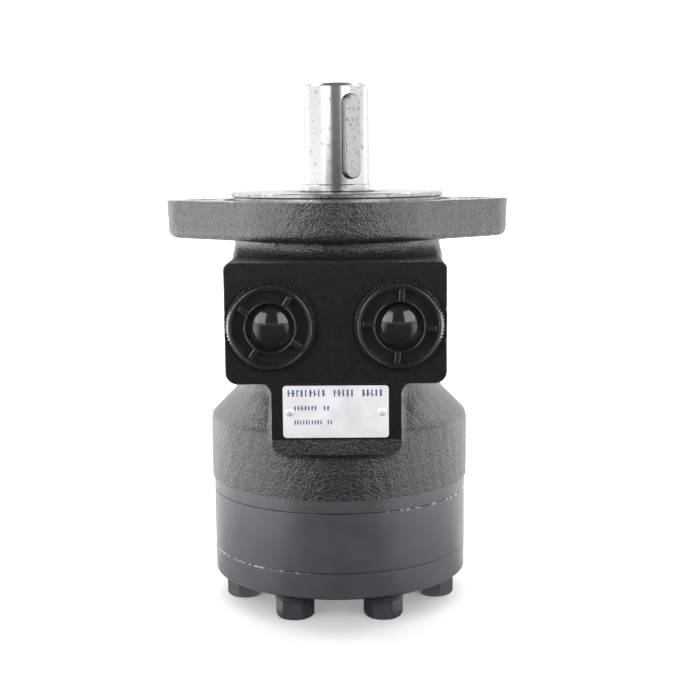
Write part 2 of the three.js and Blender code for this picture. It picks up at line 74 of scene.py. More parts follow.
def box_mm(node):
    """a CAD node's corners in millimetres from the flange face"""
    lo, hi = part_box(node)
    return ([lo.x * 1e3, lo.y * 1e3, (lo.z - ZD) * 1e3], [hi.x * 1e3, hi.y * 1e3, (hi.z - ZD) * 1e3])


# heights of the stack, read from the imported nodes
Z_HOUS = box_mm("housing")[0][2]
Z_SPAC = box_mm("spacer_plate")[0][2]
Z_RING = box_mm("stator_ring")[0][2]
Z_COVER = box_mm("end_cover")[0][2]
Z_HEAD = box_mm("cover_screw_1")[0][2]
Z_END = box_mm("output_shaft")[1][2]
ROLLER_A = [-90 + k * 360 / 7 for k in range(7)]
SCREW_A = [a + 180 / 7 for a in ROLLER_A]


def pol(r, deg):
    return r * math.cos(deg * D2R), r * math.sin(deg * D2R)


# ------------------------------------------------------------ mesh building
class Builder:
    """Loops of points joined by walls and closed by caps, so that every piece is one closed skin."""

    def __init__(self):
        self.v, self.f, self.m = [], [], []

    def loop(self, pts, z=None):
        i = len(self.v)
        self.v += [(p[0], p[1], z if z is not None else p[2]) for p in pts]
        return list(range(i, len(self.v)))

    def circle(self, r, z, n, cx=0.0, cy=0.0, turn=0.0):
        return self.loop([(cx + r * math.cos(TAU * k / n + turn), cy + r * math.sin(TAU * k / n + turn)) for k in range(n)], z)

    def wall(self, a, b, mat=0):
        n = len(a)
        for k in range(n):
            self.f.append((a[k], a[(k + 1) % n], b[(k + 1) % n], b[k]))
            self.m.append(mat)

    def fan(self, a, p, mat=0):
        """close a loop on one middle point"""
        i = len(self.v)
        self.v.append(tuple(p))
        n = len(a)
        for k in range(n):
            self.f.append((a[k], a[(k + 1) % n], i))
            self.m.append(mat)

    def cap(self, outer, holes=(), mat=0):
        loops = [outer] + list(holes)
        flat = [i for l in loops for i in l]
        for t in tessellate_polygon([[Vector((self.v[i][0], self.v[i][1], 0)) for i in l] for l in loops]):
            if len(set(t)) == 3:
                self.f.append(tuple(flat[i] for i in t))
                self.m.append(mat)

    def chain(self, loops, mats=None):
        for k in range(len(loops) - 1):
            self.wall(loops[k], loops[k + 1], mats[k] if mats else 0)


def arc_profile(points, seg=4):
    """(r, z[, radius[, mat]]) corners to a dense profile with each corner rounded; gives [(r, z, mat)]"""
    out = []
    n = len(points)
    for i, p in enumerate(points):
        rad = p[2] if len(p) > 2 else 0
        mat = p[3] if len(p) > 3 else 0
        if not rad or i in (0, n - 1):
            out.append((p[0], p[1], mat))
            continue
        a, b, c = np.array(points[i - 1][:2], float), np.array(p[:2], float), np.array(points[i + 1][:2], float)
        u, w = a - b, c - b
        lu, lw = np.linalg.norm(u), np.linalg.norm(w)
        u, w = u / lu, w / lw
        ang = math.acos(max(-1, min(1, float(u @ w))))
        if ang > 3.12:
            out.append((p[0], p[1], mat))
            continue
        t = rad / math.tan(ang / 2)
        t = min(t, 0.49 * lu, 0.49 * lw)
        r = t * math.tan(ang / 2)
        mid = (u + w) / np.linalg.norm(u + w)
        centre = b + mid * (r / math.sin(ang / 2))
        p0, p1 = b + u * t - centre, b + w * t - centre
        a0 = math.atan2(p0[1], p0[0])
        a1 = math.atan2(p1[1], p1[0])
        d = (a1 - a0 + math.pi) % TAU - math.pi
        for k in range(seg + 1):
            th = a0 + d * k / seg
            out.append((centre[0] + r * math.cos(th), centre[1] + r * math.sin(th), mat))
    return out


def lathe(bd, points, n, cx=0.0, cy=0.0, seg=4, closed=False, place=None, dense=True):
    """turn a profile about the axis through (cx, cy); r = 0 ends close on the axis"""
    prof = arc_profile(points, seg) if dense else points
    loops, poles = [], {}
    for i, p in enumerate(prof):
        if p[0] < 1e-6:
            poles[i] = p
            loops.append(None)
        else:
            loops.append(bd.circle(p[0], p[1], n, cx, cy))
    for i in range(len(prof) - 1):
        a, b = loops[i], loops[i + 1]
        mat = prof[i][2] if len(prof[i]) > 2 else 0
        if a is None and b is None:
            continue
        if a is None:
            bd.fan(b, (cx, cy, prof[i][1]), mat)
        elif b is None:
            bd.fan(a, (cx, cy, prof[i + 1][1]), mat)
        else:
            bd.wall(a, b, mat)
    if closed:
        bd.wall(loops[-1], loops[0], prof[-1][2] if len(prof[-1]) > 2 else 0)
    if place is not None:
        bd.v = [tuple(place(Vector(q))) for q in bd.v]
    return bd


def loft(bd, levels, n, cx=0.0, cy=0.0):
    """levels of (radius or function of angle, z[, mat]) from one pole to the other, as one skin"""
    loops = []
    for lv in levels:
        r, z = lv[0], lv[1]
        if not callable(r) and r < 1e-6:
            loops.append(None)
            continue
        pts = []
        for k in range(n):
            a = TAU * k / n
            rr = r(a) if callable(r) else r
            pts.append((cx + rr * math.cos(a), cy + rr * math.sin(a)))
        loops.append(bd.loop(pts, z))
    for i in range(len(levels) - 1):
        a, b = loops[i], loops[i + 1]
        mat = levels[i][2] if len(levels[i]) > 2 else 0
        if a is None:
            bd.fan(b, (cx, cy, levels[i][1]), mat)
        elif b is None:
            bd.fan(a, (cx, cy, levels[i + 1][1]), mat)
        else:
            bd.wall(a, b, mat)
    return bd


def put(name, bd, mats, nodes=None, body=None, sharp=35.0, weighted=True, slot=None, fix=True):
    """make the object from millimetre data and hang it on its body"""
    me = bpy.data.meshes.new(name)
    co = [(x * 1e-3, y * 1e-3, z * 1e-3 + ZD) for x, y, z in bd.v]
    me.from_pydata(co, [], bd.f)
    for m in mats:
        me.materials.append(m)
    me.polygons.foreach_set("material_index", bd.m)
    if fix:
        bm = bmesh.new()
        bm.from_mesh(me)
        bmesh.ops.remove_doubles(bm, verts=bm.verts, dist=1e-7)
        bmesh.ops.recalc_face_normals(bm, faces=bm.faces)
        bm.to_mesh(me)
        bm.free()
    me.validate()
    ob = bpy.data.objects.new(name, me)
    bpy.context.scene.collection.objects.link(ob)
    me.polygons.foreach_set("use_smooth", [True] * len(me.polygons))
    me.set_sharp_from_angle(angle=sharp * D2R)
    if weighted:
        w = ob.modifiers.new("weighted", "WEIGHTED_NORMAL")
        w.keep_sharp = True
        w.weight = 80
    nodes = nodes or [name]
    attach(ob, body or BODY[nodes[0]])
    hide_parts(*nodes)
    return ob


# ------------------------------------------------- surfaces from distances
# Castings and mouldings are signed distances (mm), turned into quads by dual
# contouring, so that cast fillets stay soft and machined edges stay sharp.
def fil(a, b, r):
    """union with a concave fillet of radius r"""
    return np.maximum(r, np.minimum(a, b)) - np.hypot(np.maximum(r - a, 0), np.maximum(r - b, 0))


def rnd(a, b, r):
    """intersection with the edge rounded to radius r"""
    return np.minimum(-r, np.maximum(a, b)) + np.hypot(np.maximum(r + a, 0), np.maximum(r + b, 0))


def gradient(sdf, P, d=0.02):
    g = np.empty_like(P)
    for i in range(3):
        e = np.zeros(3)
        e[i] = d
        a, b = P + e, P - e
        g[:, i] = sdf(a[:, 0], a[:, 1], a[:, 2]) - sdf(b[:, 0], b[:, 1], b[:, 2])
    return g / np.maximum(np.linalg.norm(g, axis=1), 1e-12)[:, None]


def contour(sdf, lo, hi, h, pull=0.03):
    """dual contouring of sdf(x, y, z) < 0 on a grid of step h: points and quads facing out"""
    lo, hi = np.array(lo, float), np.array(hi, float)
    n = np.ceil((hi - lo) / h).astype(int) + 1
    ax = [lo[i] + h * np.arange(n[i]) for i in range(3)]
    F = np.empty(n, np.float32)
    step = max(1, int(4e5 // (n[1] * n[2])))
    for i in range(0, n[0], step):
        X, Y, Z = np.meshgrid(ax[0][i:i + step], ax[1], ax[2], indexing="ij")
        F[i:i + step] = sdf(X, Y, Z)
    F[F == 0] = 1e-6
    inside = F < 0
    P, C, D, O = [], [], [], []
    for a in range(3):
        s0, s1 = [slice(None)] * 3, [slice(None)] * 3
        s0[a], s1[a] = slice(0, -1), slice(1, None)
        cross = inside[tuple(s0)] != inside[tuple(s1)]
        idx = np.argwhere(cross)
        f0 = F[tuple(s0)][cross].astype(float)
        f1 = F[tuple(s1)][cross].astype(float)
        t0, t1 = np.zeros(len(idx)), np.ones(len(idx))
        base = lo + idx * h
        e = np.zeros(3)
        e[a] = h
        t = f0 / (f0 - f1)
        for _ in range(4):
            q = base + t[:, None] * e
            fm = sdf(q[:, 0], q[:, 1], q[:, 2])
            same = (fm < 0) == (f0 < 0)
            t0 = np.where(same, t, t0)
            f0 = np.where(same, fm, f0)
            t1 = np.where(same, t1, t)
            f1 = np.where(same, f1, fm)
            d = f0 - f1
            big = np.abs(d) > 1e-12
            t = np.where(big, t0 + (t1 - t0) * f0 / np.where(big, d, 1), (t0 + t1) / 2)
            t = np.clip(t, t0 + 0.02 * (t1 - t0), t1 - 0.02 * (t1 - t0))
        P.append(base + t[:, None] * e)
        C.append(idx)
        D.append(np.full(len(idx), a))
        O.append(inside[tuple(s0)][cross])
    P, C, D, O = np.concatenate(P), np.concatenate(C), np.concatenate(D), np.concatenate(O)
    N = gradient(sdf, P)
    dims = n - 1
    cells = np.zeros((len(P), 4), np.int64)
    ok = np.ones(len(P), bool)
    for a in range(3):
        b, c = (a + 1) % 3, (a + 2) % 3
        m = D == a
        for k, (u, v) in enumerate(((-1, -1), (0, -1), (0, 0), (-1, 0))):
            q = C[m].copy()
            q[:, b] += u
            q[:, c] += v
            good = (q[:, b] >= 0) & (q[:, c] >= 0) & (q[:, b] < dims[b]) & (q[:, c] < dims[c])
            ok[np.flatnonzero(m)[~good]] = False
            q = np.clip(q, 0, dims - 1)
            cells[np.flatnonzero(m), k] = (q[:, 0] * dims[1] + q[:, 1]) * dims[2] + q[:, 2]
    uniq, inv = np.unique(cells.ravel(), return_inverse=True)
    inv = inv.reshape(cells.shape)
    k = len(uniq)
    rep = inv.ravel()
    pp, nn = np.repeat(P, 4, axis=0), np.repeat(N, 4, axis=0)
    cnt = np.bincount(rep, minlength=k).astype(float)
    mean = np.stack([np.bincount(rep, pp[:, i], k) for i in range(3)], 1) / cnt[:, None]
    rel = pp - mean[rep]
    bb = (nn * rel).sum(1)
    A = np.empty((k, 3, 3))
    for i in range(3):
        for j in range(i, 3):
            A[:, i, j] = A[:, j, i] = np.bincount(rep, nn[:, i] * nn[:, j], k)
    B = np.stack([np.bincount(rep, nn[:, i] * bb, k) for i in range(3)], 1)
    A += np.eye(3) * (pull * cnt)[:, None, None]
    x = mean + np.linalg.solve(A, B[:, :, None])[:, :, 0]
    cell = np.stack([uniq // (dims[1] * dims[2]), (uniq // dims[2]) % dims[1], uniq % dims[2]], 1)
    low = lo + cell * h
    x = np.clip(x, low, low + h)
    quads = inv[ok]
    quads = np.where(O[ok][:, None], quads, quads[:, ::-1])
    return x, quads


def put_quads(name, verts, quads, mats, pick=None, nodes=None, body=None, sharp=30.0, move=None, soft_area=True):
    """contoured points and quads as an object; pick(centres, normals) gives each face's material"""
    me = bpy.data.meshes.new(name)
    co = verts * 1e-3 + np.array([0, 0, ZD])
    if move is not None:
        co = co + np.array(move) * 1e-3
    me.vertices.add(len(co))
    me.vertices.foreach_set("co", co.astype(np.float32).ravel())
    me.loops.add(len(quads) * 4)
    me.loops.foreach_set("vertex_index", quads.astype(np.int32).ravel())
    me.polygons.add(len(quads))
    me.polygons.foreach_set("loop_start", np.arange(0, len(quads) * 4, 4, dtype=np.int32))
    me.update(calc_edges=True)
    me.validate()
    for m in mats:
        me.materials.append(m)
    nf = len(me.polygons)
    cen = np.zeros(nf * 3)
    nor = np.zeros(nf * 3)
    me.polygons.foreach_get("center", cen)
    me.polygons.foreach_get("normal", nor)
    if pick is not None:
        c = (cen.reshape(-1, 3) - np.array([0, 0, ZD])) * 1e3
        if move is not None:
            c = c - np.array(move)
        me.polygons.foreach_set("material_index", pick(c, nor.reshape(-1, 3)).astype(np.int32))
    me.polygons.foreach_set("use_smooth", [True] * nf)
    me.set_sharp_from_angle(angle=sharp * D2R)
    ob = bpy.data.objects.new(name, me)
    bpy.context.scene.collection.objects.link(ob)
    if soft_area:
        w = ob.modifiers.new("weighted", "WEIGHTED_NORMAL")
        w.keep_sharp = True
        w.weight = 80
    nodes = nodes or [name]
    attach(ob, body or BODY[nodes[0]])
    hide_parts(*nodes)
    return ob


# ------------------------------------------------------------- cast housing
FL_T, FL_R, FL_E, BX = 14.5, 49.0, 13.1, 53.2


def d_oval(x, y, r1, r2, h):
    """round middle drawn out to two bolt ends"""
    px, py = np.abs(y), np.abs(x)
    b = (r1 - r2) / h
    a = math.sqrt(1 - b * b)
    k = -px * b + py * a
    return np.where(k < 0, np.hypot(px, py) - r1, np.where(k > a * h, np.hypot(px, py - h) - r2, px * a + py * b - r1))


def d_rect(x, z, x0, x1, z0, z1, rb, rt):
    """rectangle with corner radii rb below and rt above"""
    r = np.where(z < (z0 + z1) / 2, rb, rt)
    qx = np.abs(x - (x0 + x1) / 2) - (x1 - x0) / 2 + r
    qz = np.abs(z - (z0 + z1) / 2) - (z1 - z0) / 2 + r
    return np.hypot(np.maximum(qx, 0), np.maximum(qz, 0)) + np.minimum(np.maximum(qx, qz), 0) - r


def d_rod(x, y, z, a, b, r):
    a, b = np.array(a, float), np.array(b, float)
    d = b - a
    length = np.linalg.norm(d)
    d /= length
    px, py, pz = x - a[0], y - a[1], z - a[2]
    t = px * d[0] + py * d[1] + pz * d[2]
    q = np.sqrt(np.maximum(px * px + py * py + pz * pz - t * t, 0)) - r
    return np.maximum(q, np.maximum(-t, t - length))


def waves(x, y, z, s, ph):
    """smooth unevenness about -1..1 with humps near s across"""
    k = TAU / s
    v = np.sin(k * (x * 0.87 + y * 0.31 - z * 0.39) + ph) * np.sin(k * (y * 0.83 - x * 0.44 + z * 0.35) + 2.1 * ph + 1.0)
    v = v + np.sin(k * 1.37 * (z * 0.79 + x * 0.42 + y * 0.45) + 0.7 * ph) * np.sin(k * 1.21 * (x * 0.53 - z * 0.62 + y * 0.58) - ph)
    return 0.5 * v


def housing_cast(x, y, z):
    R = np.hypot(x, y)
    f2 = d_oval(x, y, FL_R, FL_E, BX) + 0.035 * np.maximum(-z, 0)
    flange = rnd(f2, -(z + FL_T), 3.0)
    flange = rnd(flange, z, 0.35)
    neck = R - 40.0
    cone = (R - 40.0 - (-73.3 - z)) * 0.70711
    low = rnd(cone, R - 50.6, 1.3)
    trunk = np.maximum(fil(neck, low, 1.6), z + 5.0)
    body = fil(flange, trunk, 1.4)
    b2 = d_rect(x, z, -39.7, 39.7, -64.4, -20.6, 4.3, 3.0)
    block = np.maximum(rnd(b2, -(y + 53.0), 0.5), y - 2.0)
    t2 = d_rect(x, z, -23.35, 23.35, -90.5, -50.0, 4.5, 4.5)
    pad = np.maximum(rnd(t2, -(y + 52.6), 1.0), y - 2.0)
    web = np.maximum(np.maximum(fil(b2, t2, 4.0), -(y + 52.6)), y - 2.0)
    up = np.clip((z + 48.0) / 18.0, 0, 1)
    body = fil(body, np.minimum(np.minimum(block, pad), web), 2.8 + 1.7 * up * up * (3 - 2 * up))
    boss = np.maximum(rnd(np.hypot(x, z + 30.0) - 11.5, y - 42.0, 0.4), 20.0 - y)
    body = fil(body, boss, 3.0)
    return np.maximum(np.maximum(body, Z_HOUS - z), -(y + 53.0))


def housing(x, y, z):
    """the casting with its unevenness and every bore cut; the turned spigot is a skin of its own"""
    cast = housing_cast(x, y, z)
    rough = 0.11 * waves(x, y, z, 9.0, 0.4) + 0.05 * waves(x, y, z, 3.4, 1.9)
    cast = cast + rough * np.clip((y + 52.2) / 0.6, 0, 1)
    cast = np.maximum(np.maximum(cast, z), Z_HOUS - z)
    R = np.hypot(x, y)
    d = cast
    cut = np.maximum(R - 44.3, -(z + 3.2))
    bore = np.maximum(R - 20.1, -(z + 13.6))
    bore = np.minimum(bore, np.maximum(R - 14.8, -(z + 18.5)))
    bore = np.minimum(bore, np.maximum(R - 20.5, z + 17.6))
    cut = np.minimum(cut, bore)
    cut = np.minimum(cut, np.maximum(np.maximum(44.1 - R, R - 46.9), z - Z_HOUS - 2.0))
    for s in (-1, 1):
        rh = np.hypot(x - s * BX, y)
        cut = np.minimum(cut, np.maximum(np.maximum(rh - 6.75, z - 3), -22 - z))
        cut = np.minimum(cut, np.maximum((rh - 6.75 - 0.6 - z) * 0.70711, -3 - z))
        rp = np.hypot(x - s * 22.9, z + 43.5)
        cut = np.minimum(cut, np.maximum(rp - 17.0, y + 52.5))
        cut = np.minimum(cut, np.maximum(rp - 10.4, y + 36.0))
        cut = np.minimum(cut, np.maximum((rp - 12.0 + (y + 52.5)) * 0.70711, y + 49.0))
    cut = np.minimum(cut, np.maximum(np.hypot(x, z + 30.0) - 5.8, 31.0 - y))
    for k in range(7):
        a = (ROLLER_A[0] + (k + 0.5) * 360 / 7) * D2R
        cx, cy = math.cos(a), math.sin(a)
        cut = np.minimum(cut, np.maximum(np.hypot(x - 38.6 * cx, y - 38.6 * cy) - 4.1, z + 88.0))
        cut = np.minimum(cut, np.maximum(np.hypot(x - 28 * cx, y - 28 * cy) - 2.4, z + 52.0))
        cut = np.minimum(cut, d_rod(x, y, z, (28 * cx, 28 * cy, -54), (19 * cx, 19 * cy, -54), 2.2))
    for k in (2, 5):
        a = ROLLER_A[k] * D2R
        cut = np.minimum(cut, np.maximum(np.hypot(x - 32 * math.cos(a), y - 32 * math.sin(a)) - 3.3, z + 95.0))
    cut = np.minimum(cut, d_rod(x, y, z, (-21.9, -37.5, -42.5), (-15.2, -12.2, -38.0), 4.2))
    cut = np.minimum(cut, d_rod(x, y, z, (23.9, -37.5, -45.5), (15.6, -12.4, -66.0), 3.8))
    return np.maximum(d, -cut)


# ---------------------------------------------------------------- materials
class Mat:
    """small helper round a node tree"""

    def __init__(self, name):
        self.mat = bpy.data.materials.new(name)
        self.mat.use_nodes = True
        self.nt = self.mat.node_tree
        self.bsdf = self.nt.nodes["Principled BSDF"]
        self.out = self.nt.nodes["Material Output"]
        self.tc = self.nt.nodes.new("ShaderNodeTexCoord")
        self.bumps = []

    def node(self, kind, **kw):
        n = self.nt.nodes.new(kind)
        for k, v in kw.items():
            if k in n.inputs.keys():
                n.inputs[k].default_value = v
            else:
                setattr(n, k, v)
        return n

    def link(self, a, b):
        self.nt.links.new(a, b)

    def coords(self, scale=(1, 1, 1)):
        m = self.node("ShaderNodeMapping")
        m.inputs["Scale"].default_value = scale
        self.link(self.tc.outputs["Object"], m.inputs["Vector"])
        return m.outputs["Vector"]

    def noise(self, size_mm, detail=2.0, rough=0.5, stretch=(1, 1, 1), distort=0.0):
        """noise with humps about size_mm across"""
        s = 1000.0 / size_mm
        n = self.node("ShaderNodeTexNoise")
        n.inputs["Scale"].default_value = s
        n.inputs["Detail"].default_value = detail
        n.inputs["Roughness"].default_value = rough
        n.inputs["Distortion"].default_value = distort
        self.link(self.coords(stretch), n.inputs["Vector"])
        return n.outputs["Fac"]

    def ramp(self, fac, a, b, lo=0.0, hi=1.0, smooth=False):
        n = self.node("ShaderNodeMapRange")
        if smooth:
            n.interpolation_type = "SMOOTHSTEP"
        n.inputs["From Min"].default_value = a
        n.inputs["From Max"].default_value = b
        n.inputs["To Min"].default_value = lo
        n.inputs["To Max"].default_value = hi
        self.link(fac, n.inputs["Value"])
        return n.outputs["Result"]

    def math(self, op, a, b=None, clamp=False):
        n = self.node("ShaderNodeMath", operation=op)
        n.use_clamp = clamp
        for i, v in enumerate((a, b)):
            if v is None:
                continue
            if isinstance(v, (int, float)):
                n.inputs[i].default_value = v
            else:
                self.link(v, n.inputs[i])
        return n.outputs[0]

    def mix(self, fac, a, b):
        n = self.node("ShaderNodeMix", data_type="RGBA")
        if isinstance(fac, (int, float)):
            n.inputs[0].default_value = fac
        else:
            self.link(fac, n.inputs[0])
        for i, v in ((6, a), (7, b)):
            if isinstance(v, tuple):
                n.inputs[i].default_value = (*v, 1.0)
            else:
                self.link(v, n.inputs[i])
        return n.outputs[2]

    def xyz(self):
        n = self.node("ShaderNodeSeparateXYZ")
        self.link(self.tc.outputs["Object"], n.inputs[0])
        return n.outputs

    def set(self, key, v):
        i = self.bsdf.inputs[key]
        if isinstance(v, (int, float)):
            i.default_value = v
        elif isinstance(v, tuple):
            i.default_value = (*v, 1.0)
        else:
            self.link(v, i)
        return self

    def bump(self, height, depth_mm, strength=1.0):
        """height 0..1 stands depth_mm tall"""
        n = self.node("ShaderNodeBump")
        n.inputs["Strength"].default_value = strength
        n.inputs["Distance"].default_value = depth_mm / 1000.0
        self.link(height, n.inputs["Height"])
        if self.bumps:
            self.link(self.bumps[-1].outputs["Normal"], n.inputs["Normal"])
        self.bumps.append(n)
        self.link(n.outputs["Normal"], self.bsdf.inputs["Normal"])
        return self


def cast_skin(name, colour, rough, depth=0.16, chips=0.0, ior=1.9):
    m = Mat(name)
    big, mid, fine = m.noise(3.2, 1.0, 0.55), m.noise(0.92, 1.0, 0.5, distort=0.25), m.noise(0.45, 0.0)
    tone = m.ramp(m.noise(14, 2.0), 0.3, 0.7, 0.85, 1.15)
    col = m.mix(m.ramp(mid, 0.35, 0.65), tuple(c * 0.88 for c in colour), tuple(c * 1.12 for c in colour))
    if chips:
        spot = m.ramp(m.noise(0.6, 0.0), 0.735 - chips, 0.76 - chips)
        col = m.mix(spot, col, (0.55, 0.55, 0.55))
    m.set("Base Color", col)
    m.set("Roughness", m.ramp(mid, 0.3, 0.7, rough - 0.05, rough + 0.07))
    m.set("IOR", ior)
    m.set("Specular IOR Level", m.ramp(mid, 0.34, 0.54, 0.36, 0.56))       # hollows of the skin hold little light
    m.bump(big, depth * 0.5).bump(mid, depth * 1.5).bump(fine, depth * 0.55)
    return m.mat


def smooth_paint(name, colour, rough, wave=0.02, spec=0.5, speck=True, ior=1.5):
    m = Mat(name)
    n1 = m.noise(9, 2.0)
    col = m.mix(m.ramp(n1, 0.3, 0.7), tuple(c * 0.9 for c in colour), tuple(c * 1.1 for c in colour))
    if speck:
        spot = m.ramp(m.noise(0.55, 0.0), 0.79, 0.82)
        col = m.mix(m.math("MULTIPLY", spot, 0.6), col, (0.3, 0.3, 0.31))
    m.set("Base Color", col)
    m.set("Roughness", m.ramp(m.noise(2.2, 2.0), 0.3, 0.7, rough - 0.04, rough + 0.05))
    m.set("Specular IOR Level", spec)
    m.set("IOR", ior)
    m.bump(m.noise(4.0, 2.0), wave * 2).bump(m.noise(0.8, 1.0), wave * 0.5)
    return m.mat


def metal(name, colour, rough, grain=(1, 1, 1), grain_mm=0.5, depth=0.01, pits=0.0, dirt=0.0, coarse=0.0):
    m = Mat(name)
    g = m.noise(grain_mm, 2.0, stretch=grain)
    col = m.mix(m.ramp(g, 0.3, 0.7), tuple(c * 0.86 for c in colour), colour)
    if dirt:
        d = m.ramp(m.noise(2.2, 4.0, 0.7), 0.62 - dirt * 0.2, 0.74 - dirt * 0.2)
        col = m.mix(d, col, tuple(c * 0.35 for c in colour))
    m.set("Base Color", col)
    m.set("Metallic", 1.0)
    m.set("Roughness", m.ramp(g, 0.3, 0.7, rough * 0.8, rough * 1.25))
    m.bump(g, depth)
    if pits:
        p = m.ramp(m.noise(0.9, 3.0, 0.6), 0.30, 0.46)
        m.bump(p, pits)
    if coarse:
        m.bump(m.noise(3.0, 1.0), coarse)
    return m.mat


def turned_metal(name, colour, rough, ring_mm=0.35, depth=0.004, dirt=0.0, spots=0.0):
    """faced in a lathe: tool marks run in circles round the shaft's axis"""
    m = Mat(name)
    x, y, z = m.xyz()
    rad = m.math("SQRT", m.math("ADD", m.math("MULTIPLY", x, x), m.math("MULTIPLY", y, y)))
    n = m.node("ShaderNodeTexNoise")
    n.noise_dimensions = "1D"
    n.inputs["Scale"].default_value = 1000.0 / ring_mm
    n.inputs["Detail"].default_value = 2.0
    m.link(rad, n.inputs["W"])
    g = n.outputs["Fac"]
    col = m.mix(m.ramp(g, 0.3, 0.7), tuple(c * 0.82 for c in colour), colour)
    if dirt:
        d = m.ramp(m.noise(2.6, 4.0, 0.7), 0.62 - dirt * 0.2, 0.76 - dirt * 0.2)
        col = m.mix(m.math("MULTIPLY", d, 0.75), col, tuple(c * 0.3 for c in colour))
    if spots:
        d = m.ramp(m.noise(0.8, 1.0, 0.6), 0.66 - spots, 0.72 - spots)
        col = m.mix(d, col, tuple(min(1.0, c * 1.6) for c in colour))
    m.set("Base Color", col)
    m.set("Metallic", 1.0)
    m.set("Roughness", m.ramp(m.noise(3.0, 3.0, 0.6), 0.3, 0.7, rough * 0.8, rough * 1.3))
    m.bump(g, depth)
    return m.mat


def worn_edge(name, colour, rough, amount, side=0, ior=1.8, bare=0.45):
    """paint whose arris is rubbed to bare metal in places; side -1 or 1 wears that half more"""
    m = Mat(name)
    x, y, z = m.xyz()
    s = 1000.0 / 2.4
    wear = m.noise(2.4, 3.0, 0.65, stretch=(1, 1, 0.35))
    if side:
        half = m.ramp(m.math("MULTIPLY", x, float(side)), -0.012, 0.03, -0.12, 0.14)
        wear = m.math("ADD", wear, half)
    w = m.ramp(wear, 0.66 - amount, 0.74 - amount)
    m.set("Base Color", m.mix(w, colour, (bare, bare * 0.985, bare * 0.97)))
    m.set("Metallic", m.math("MULTIPLY", w, 0.85))
    m.set("Roughness", m.ramp(w, 0, 1, rough, 0.42))
    m.set("IOR", ior)
    m.bump(m.noise(0.8, 1.0), 0.03)
    return m.mat


CAST = cast_skin("cast_paint", (0.0135, 0.0133, 0.0147), 0.38, depth=0.20, ior=1.74)
TOPFACE = turned_metal("flange_face_machined", (0.25, 0.247, 0.247), 0.32, ring_mm=0.5, depth=0.006, dirt=0.20)
SMOOTH = smooth_paint("port_face_paint", (0.0055, 0.0058, 0.0065), 0.30, 0.008, ior=1.5, speck=False)
PILOT = turned_metal("turned_spigot", (0.29, 0.284, 0.280), 0.30, ring_mm=0.45, depth=0.006, dirt=0.40, spots=0.02)
BORE = metal("bored_iron", (0.30, 0.30, 0.30), 0.4, grain_mm=0.7, depth=0.01)
SATIN = smooth_paint("stack_paint", (0.061, 0.0640, 0.0710), 0.34, 0.012, ior=1.58, speck=False)
WORN_A = worn_edge("seam_edge_upper", (0.016, 0.0165, 0.0175), 0.42, 0.01)
WORN_B = worn_edge("seam_edge_middle", (0.016, 0.0165, 0.0175), 0.42, 0.03, side=1)
WORN_C = worn_edge("seam_edge_lower", (0.016, 0.0165, 0.0175), 0.42, 0.06, side=-1)
WORN_D = worn_edge("cover_low_edge", (0.030, 0.0310, 0.0340), 0.36, 0.02, bare=0.4)
BOLT = smooth_paint("black_oxide", (0.052, 0.0555, 0.0670), 0.30, 0.02, ior=1.5, speck=False)
BOLT_END = smooth_paint("black_oxide_end", (0.030, 0.032, 0.038), 0.40, 0.04, ior=1.6, speck=False)
WASHER = smooth_paint("washer_oxide", (0.042, 0.0445, 0.0530), 0.28, 0.015, ior=1.7, speck=False)
BRIGHT = metal("turned_steel", (0.375, 0.370, 0.368), 0.20, grain=(0.3, 0.3, 2.2), grain_mm=0.5, depth=0.003, dirt=0.10)
SHAFT_END = turned_metal("faced_steel", (0.52, 0.52, 0.52), 0.28, ring_mm=0.4, depth=0.005, dirt=0.25)
# keyway walls coloured near-black, far darker than the key's own steel: painted shade for the narrow gap beside the key
KEYWAY_SHADE = metal("keyway_painted_shade", (0.09, 0.09, 0.09), 0.5, grain_mm=0.5, depth=0.01)
KEYSTEEL = metal("key_steel", (0.29, 0.279, 0.272), 0.32, grain_mm=0.9, depth=0.008, pits=0.05, dirt=0.32, coarse=0.09)
GROUND = metal("ground_steel", (0.45, 0.45, 0.455), 0.24, grain=(1, 1, 0.2), grain_mm=0.4, depth=0.004)
BRASS = metal("cage_brass", (0.55, 0.40, 0.18), 0.32, grain_mm=0.5, depth=0.006)
SEALCASE = metal("seal_case_steel", (0.22, 0.22, 0.22), 0.36, grain_mm=0.6, depth=0.008, dirt=0.3)
PLATE = smooth_paint("plate_face", (0.70, 0.695, 0.705), 0.40, 0.004, speck=False)
RIVET = metal("rivet_aluminium", (0.97, 0.97, 0.97), 0.62, grain_mm=0.5, depth=0.012)
INK = smooth_paint("blue_ink", (0.045, 0.075, 0.24), 0.45, 0.004, speck=False)
RUBBER = smooth_paint("black_rubber", (0.013, 0.013, 0.014), 0.55, 0.02, spec=0.4, speck=False)
PLASTIC = smooth_paint("plug_plastic", (0.0130, 0.0133, 0.0143), 0.10, 0.010, spec=0.55, speck=False)


def clean_quads(v, y_min=None, z_min=None):
    if y_min is not None:
        v[:, 1] = np.maximum(v[:, 1], y_min)
    if z_min is not None:
        v[:, 2] = np.maximum(v[:, 2], z_min)
    return v


hv, hq = contour(housing, (-68, -55, -110), (68, 53, 5), 1.07)
hv = clean_quads(hv, -53.0, Z_HOUS)


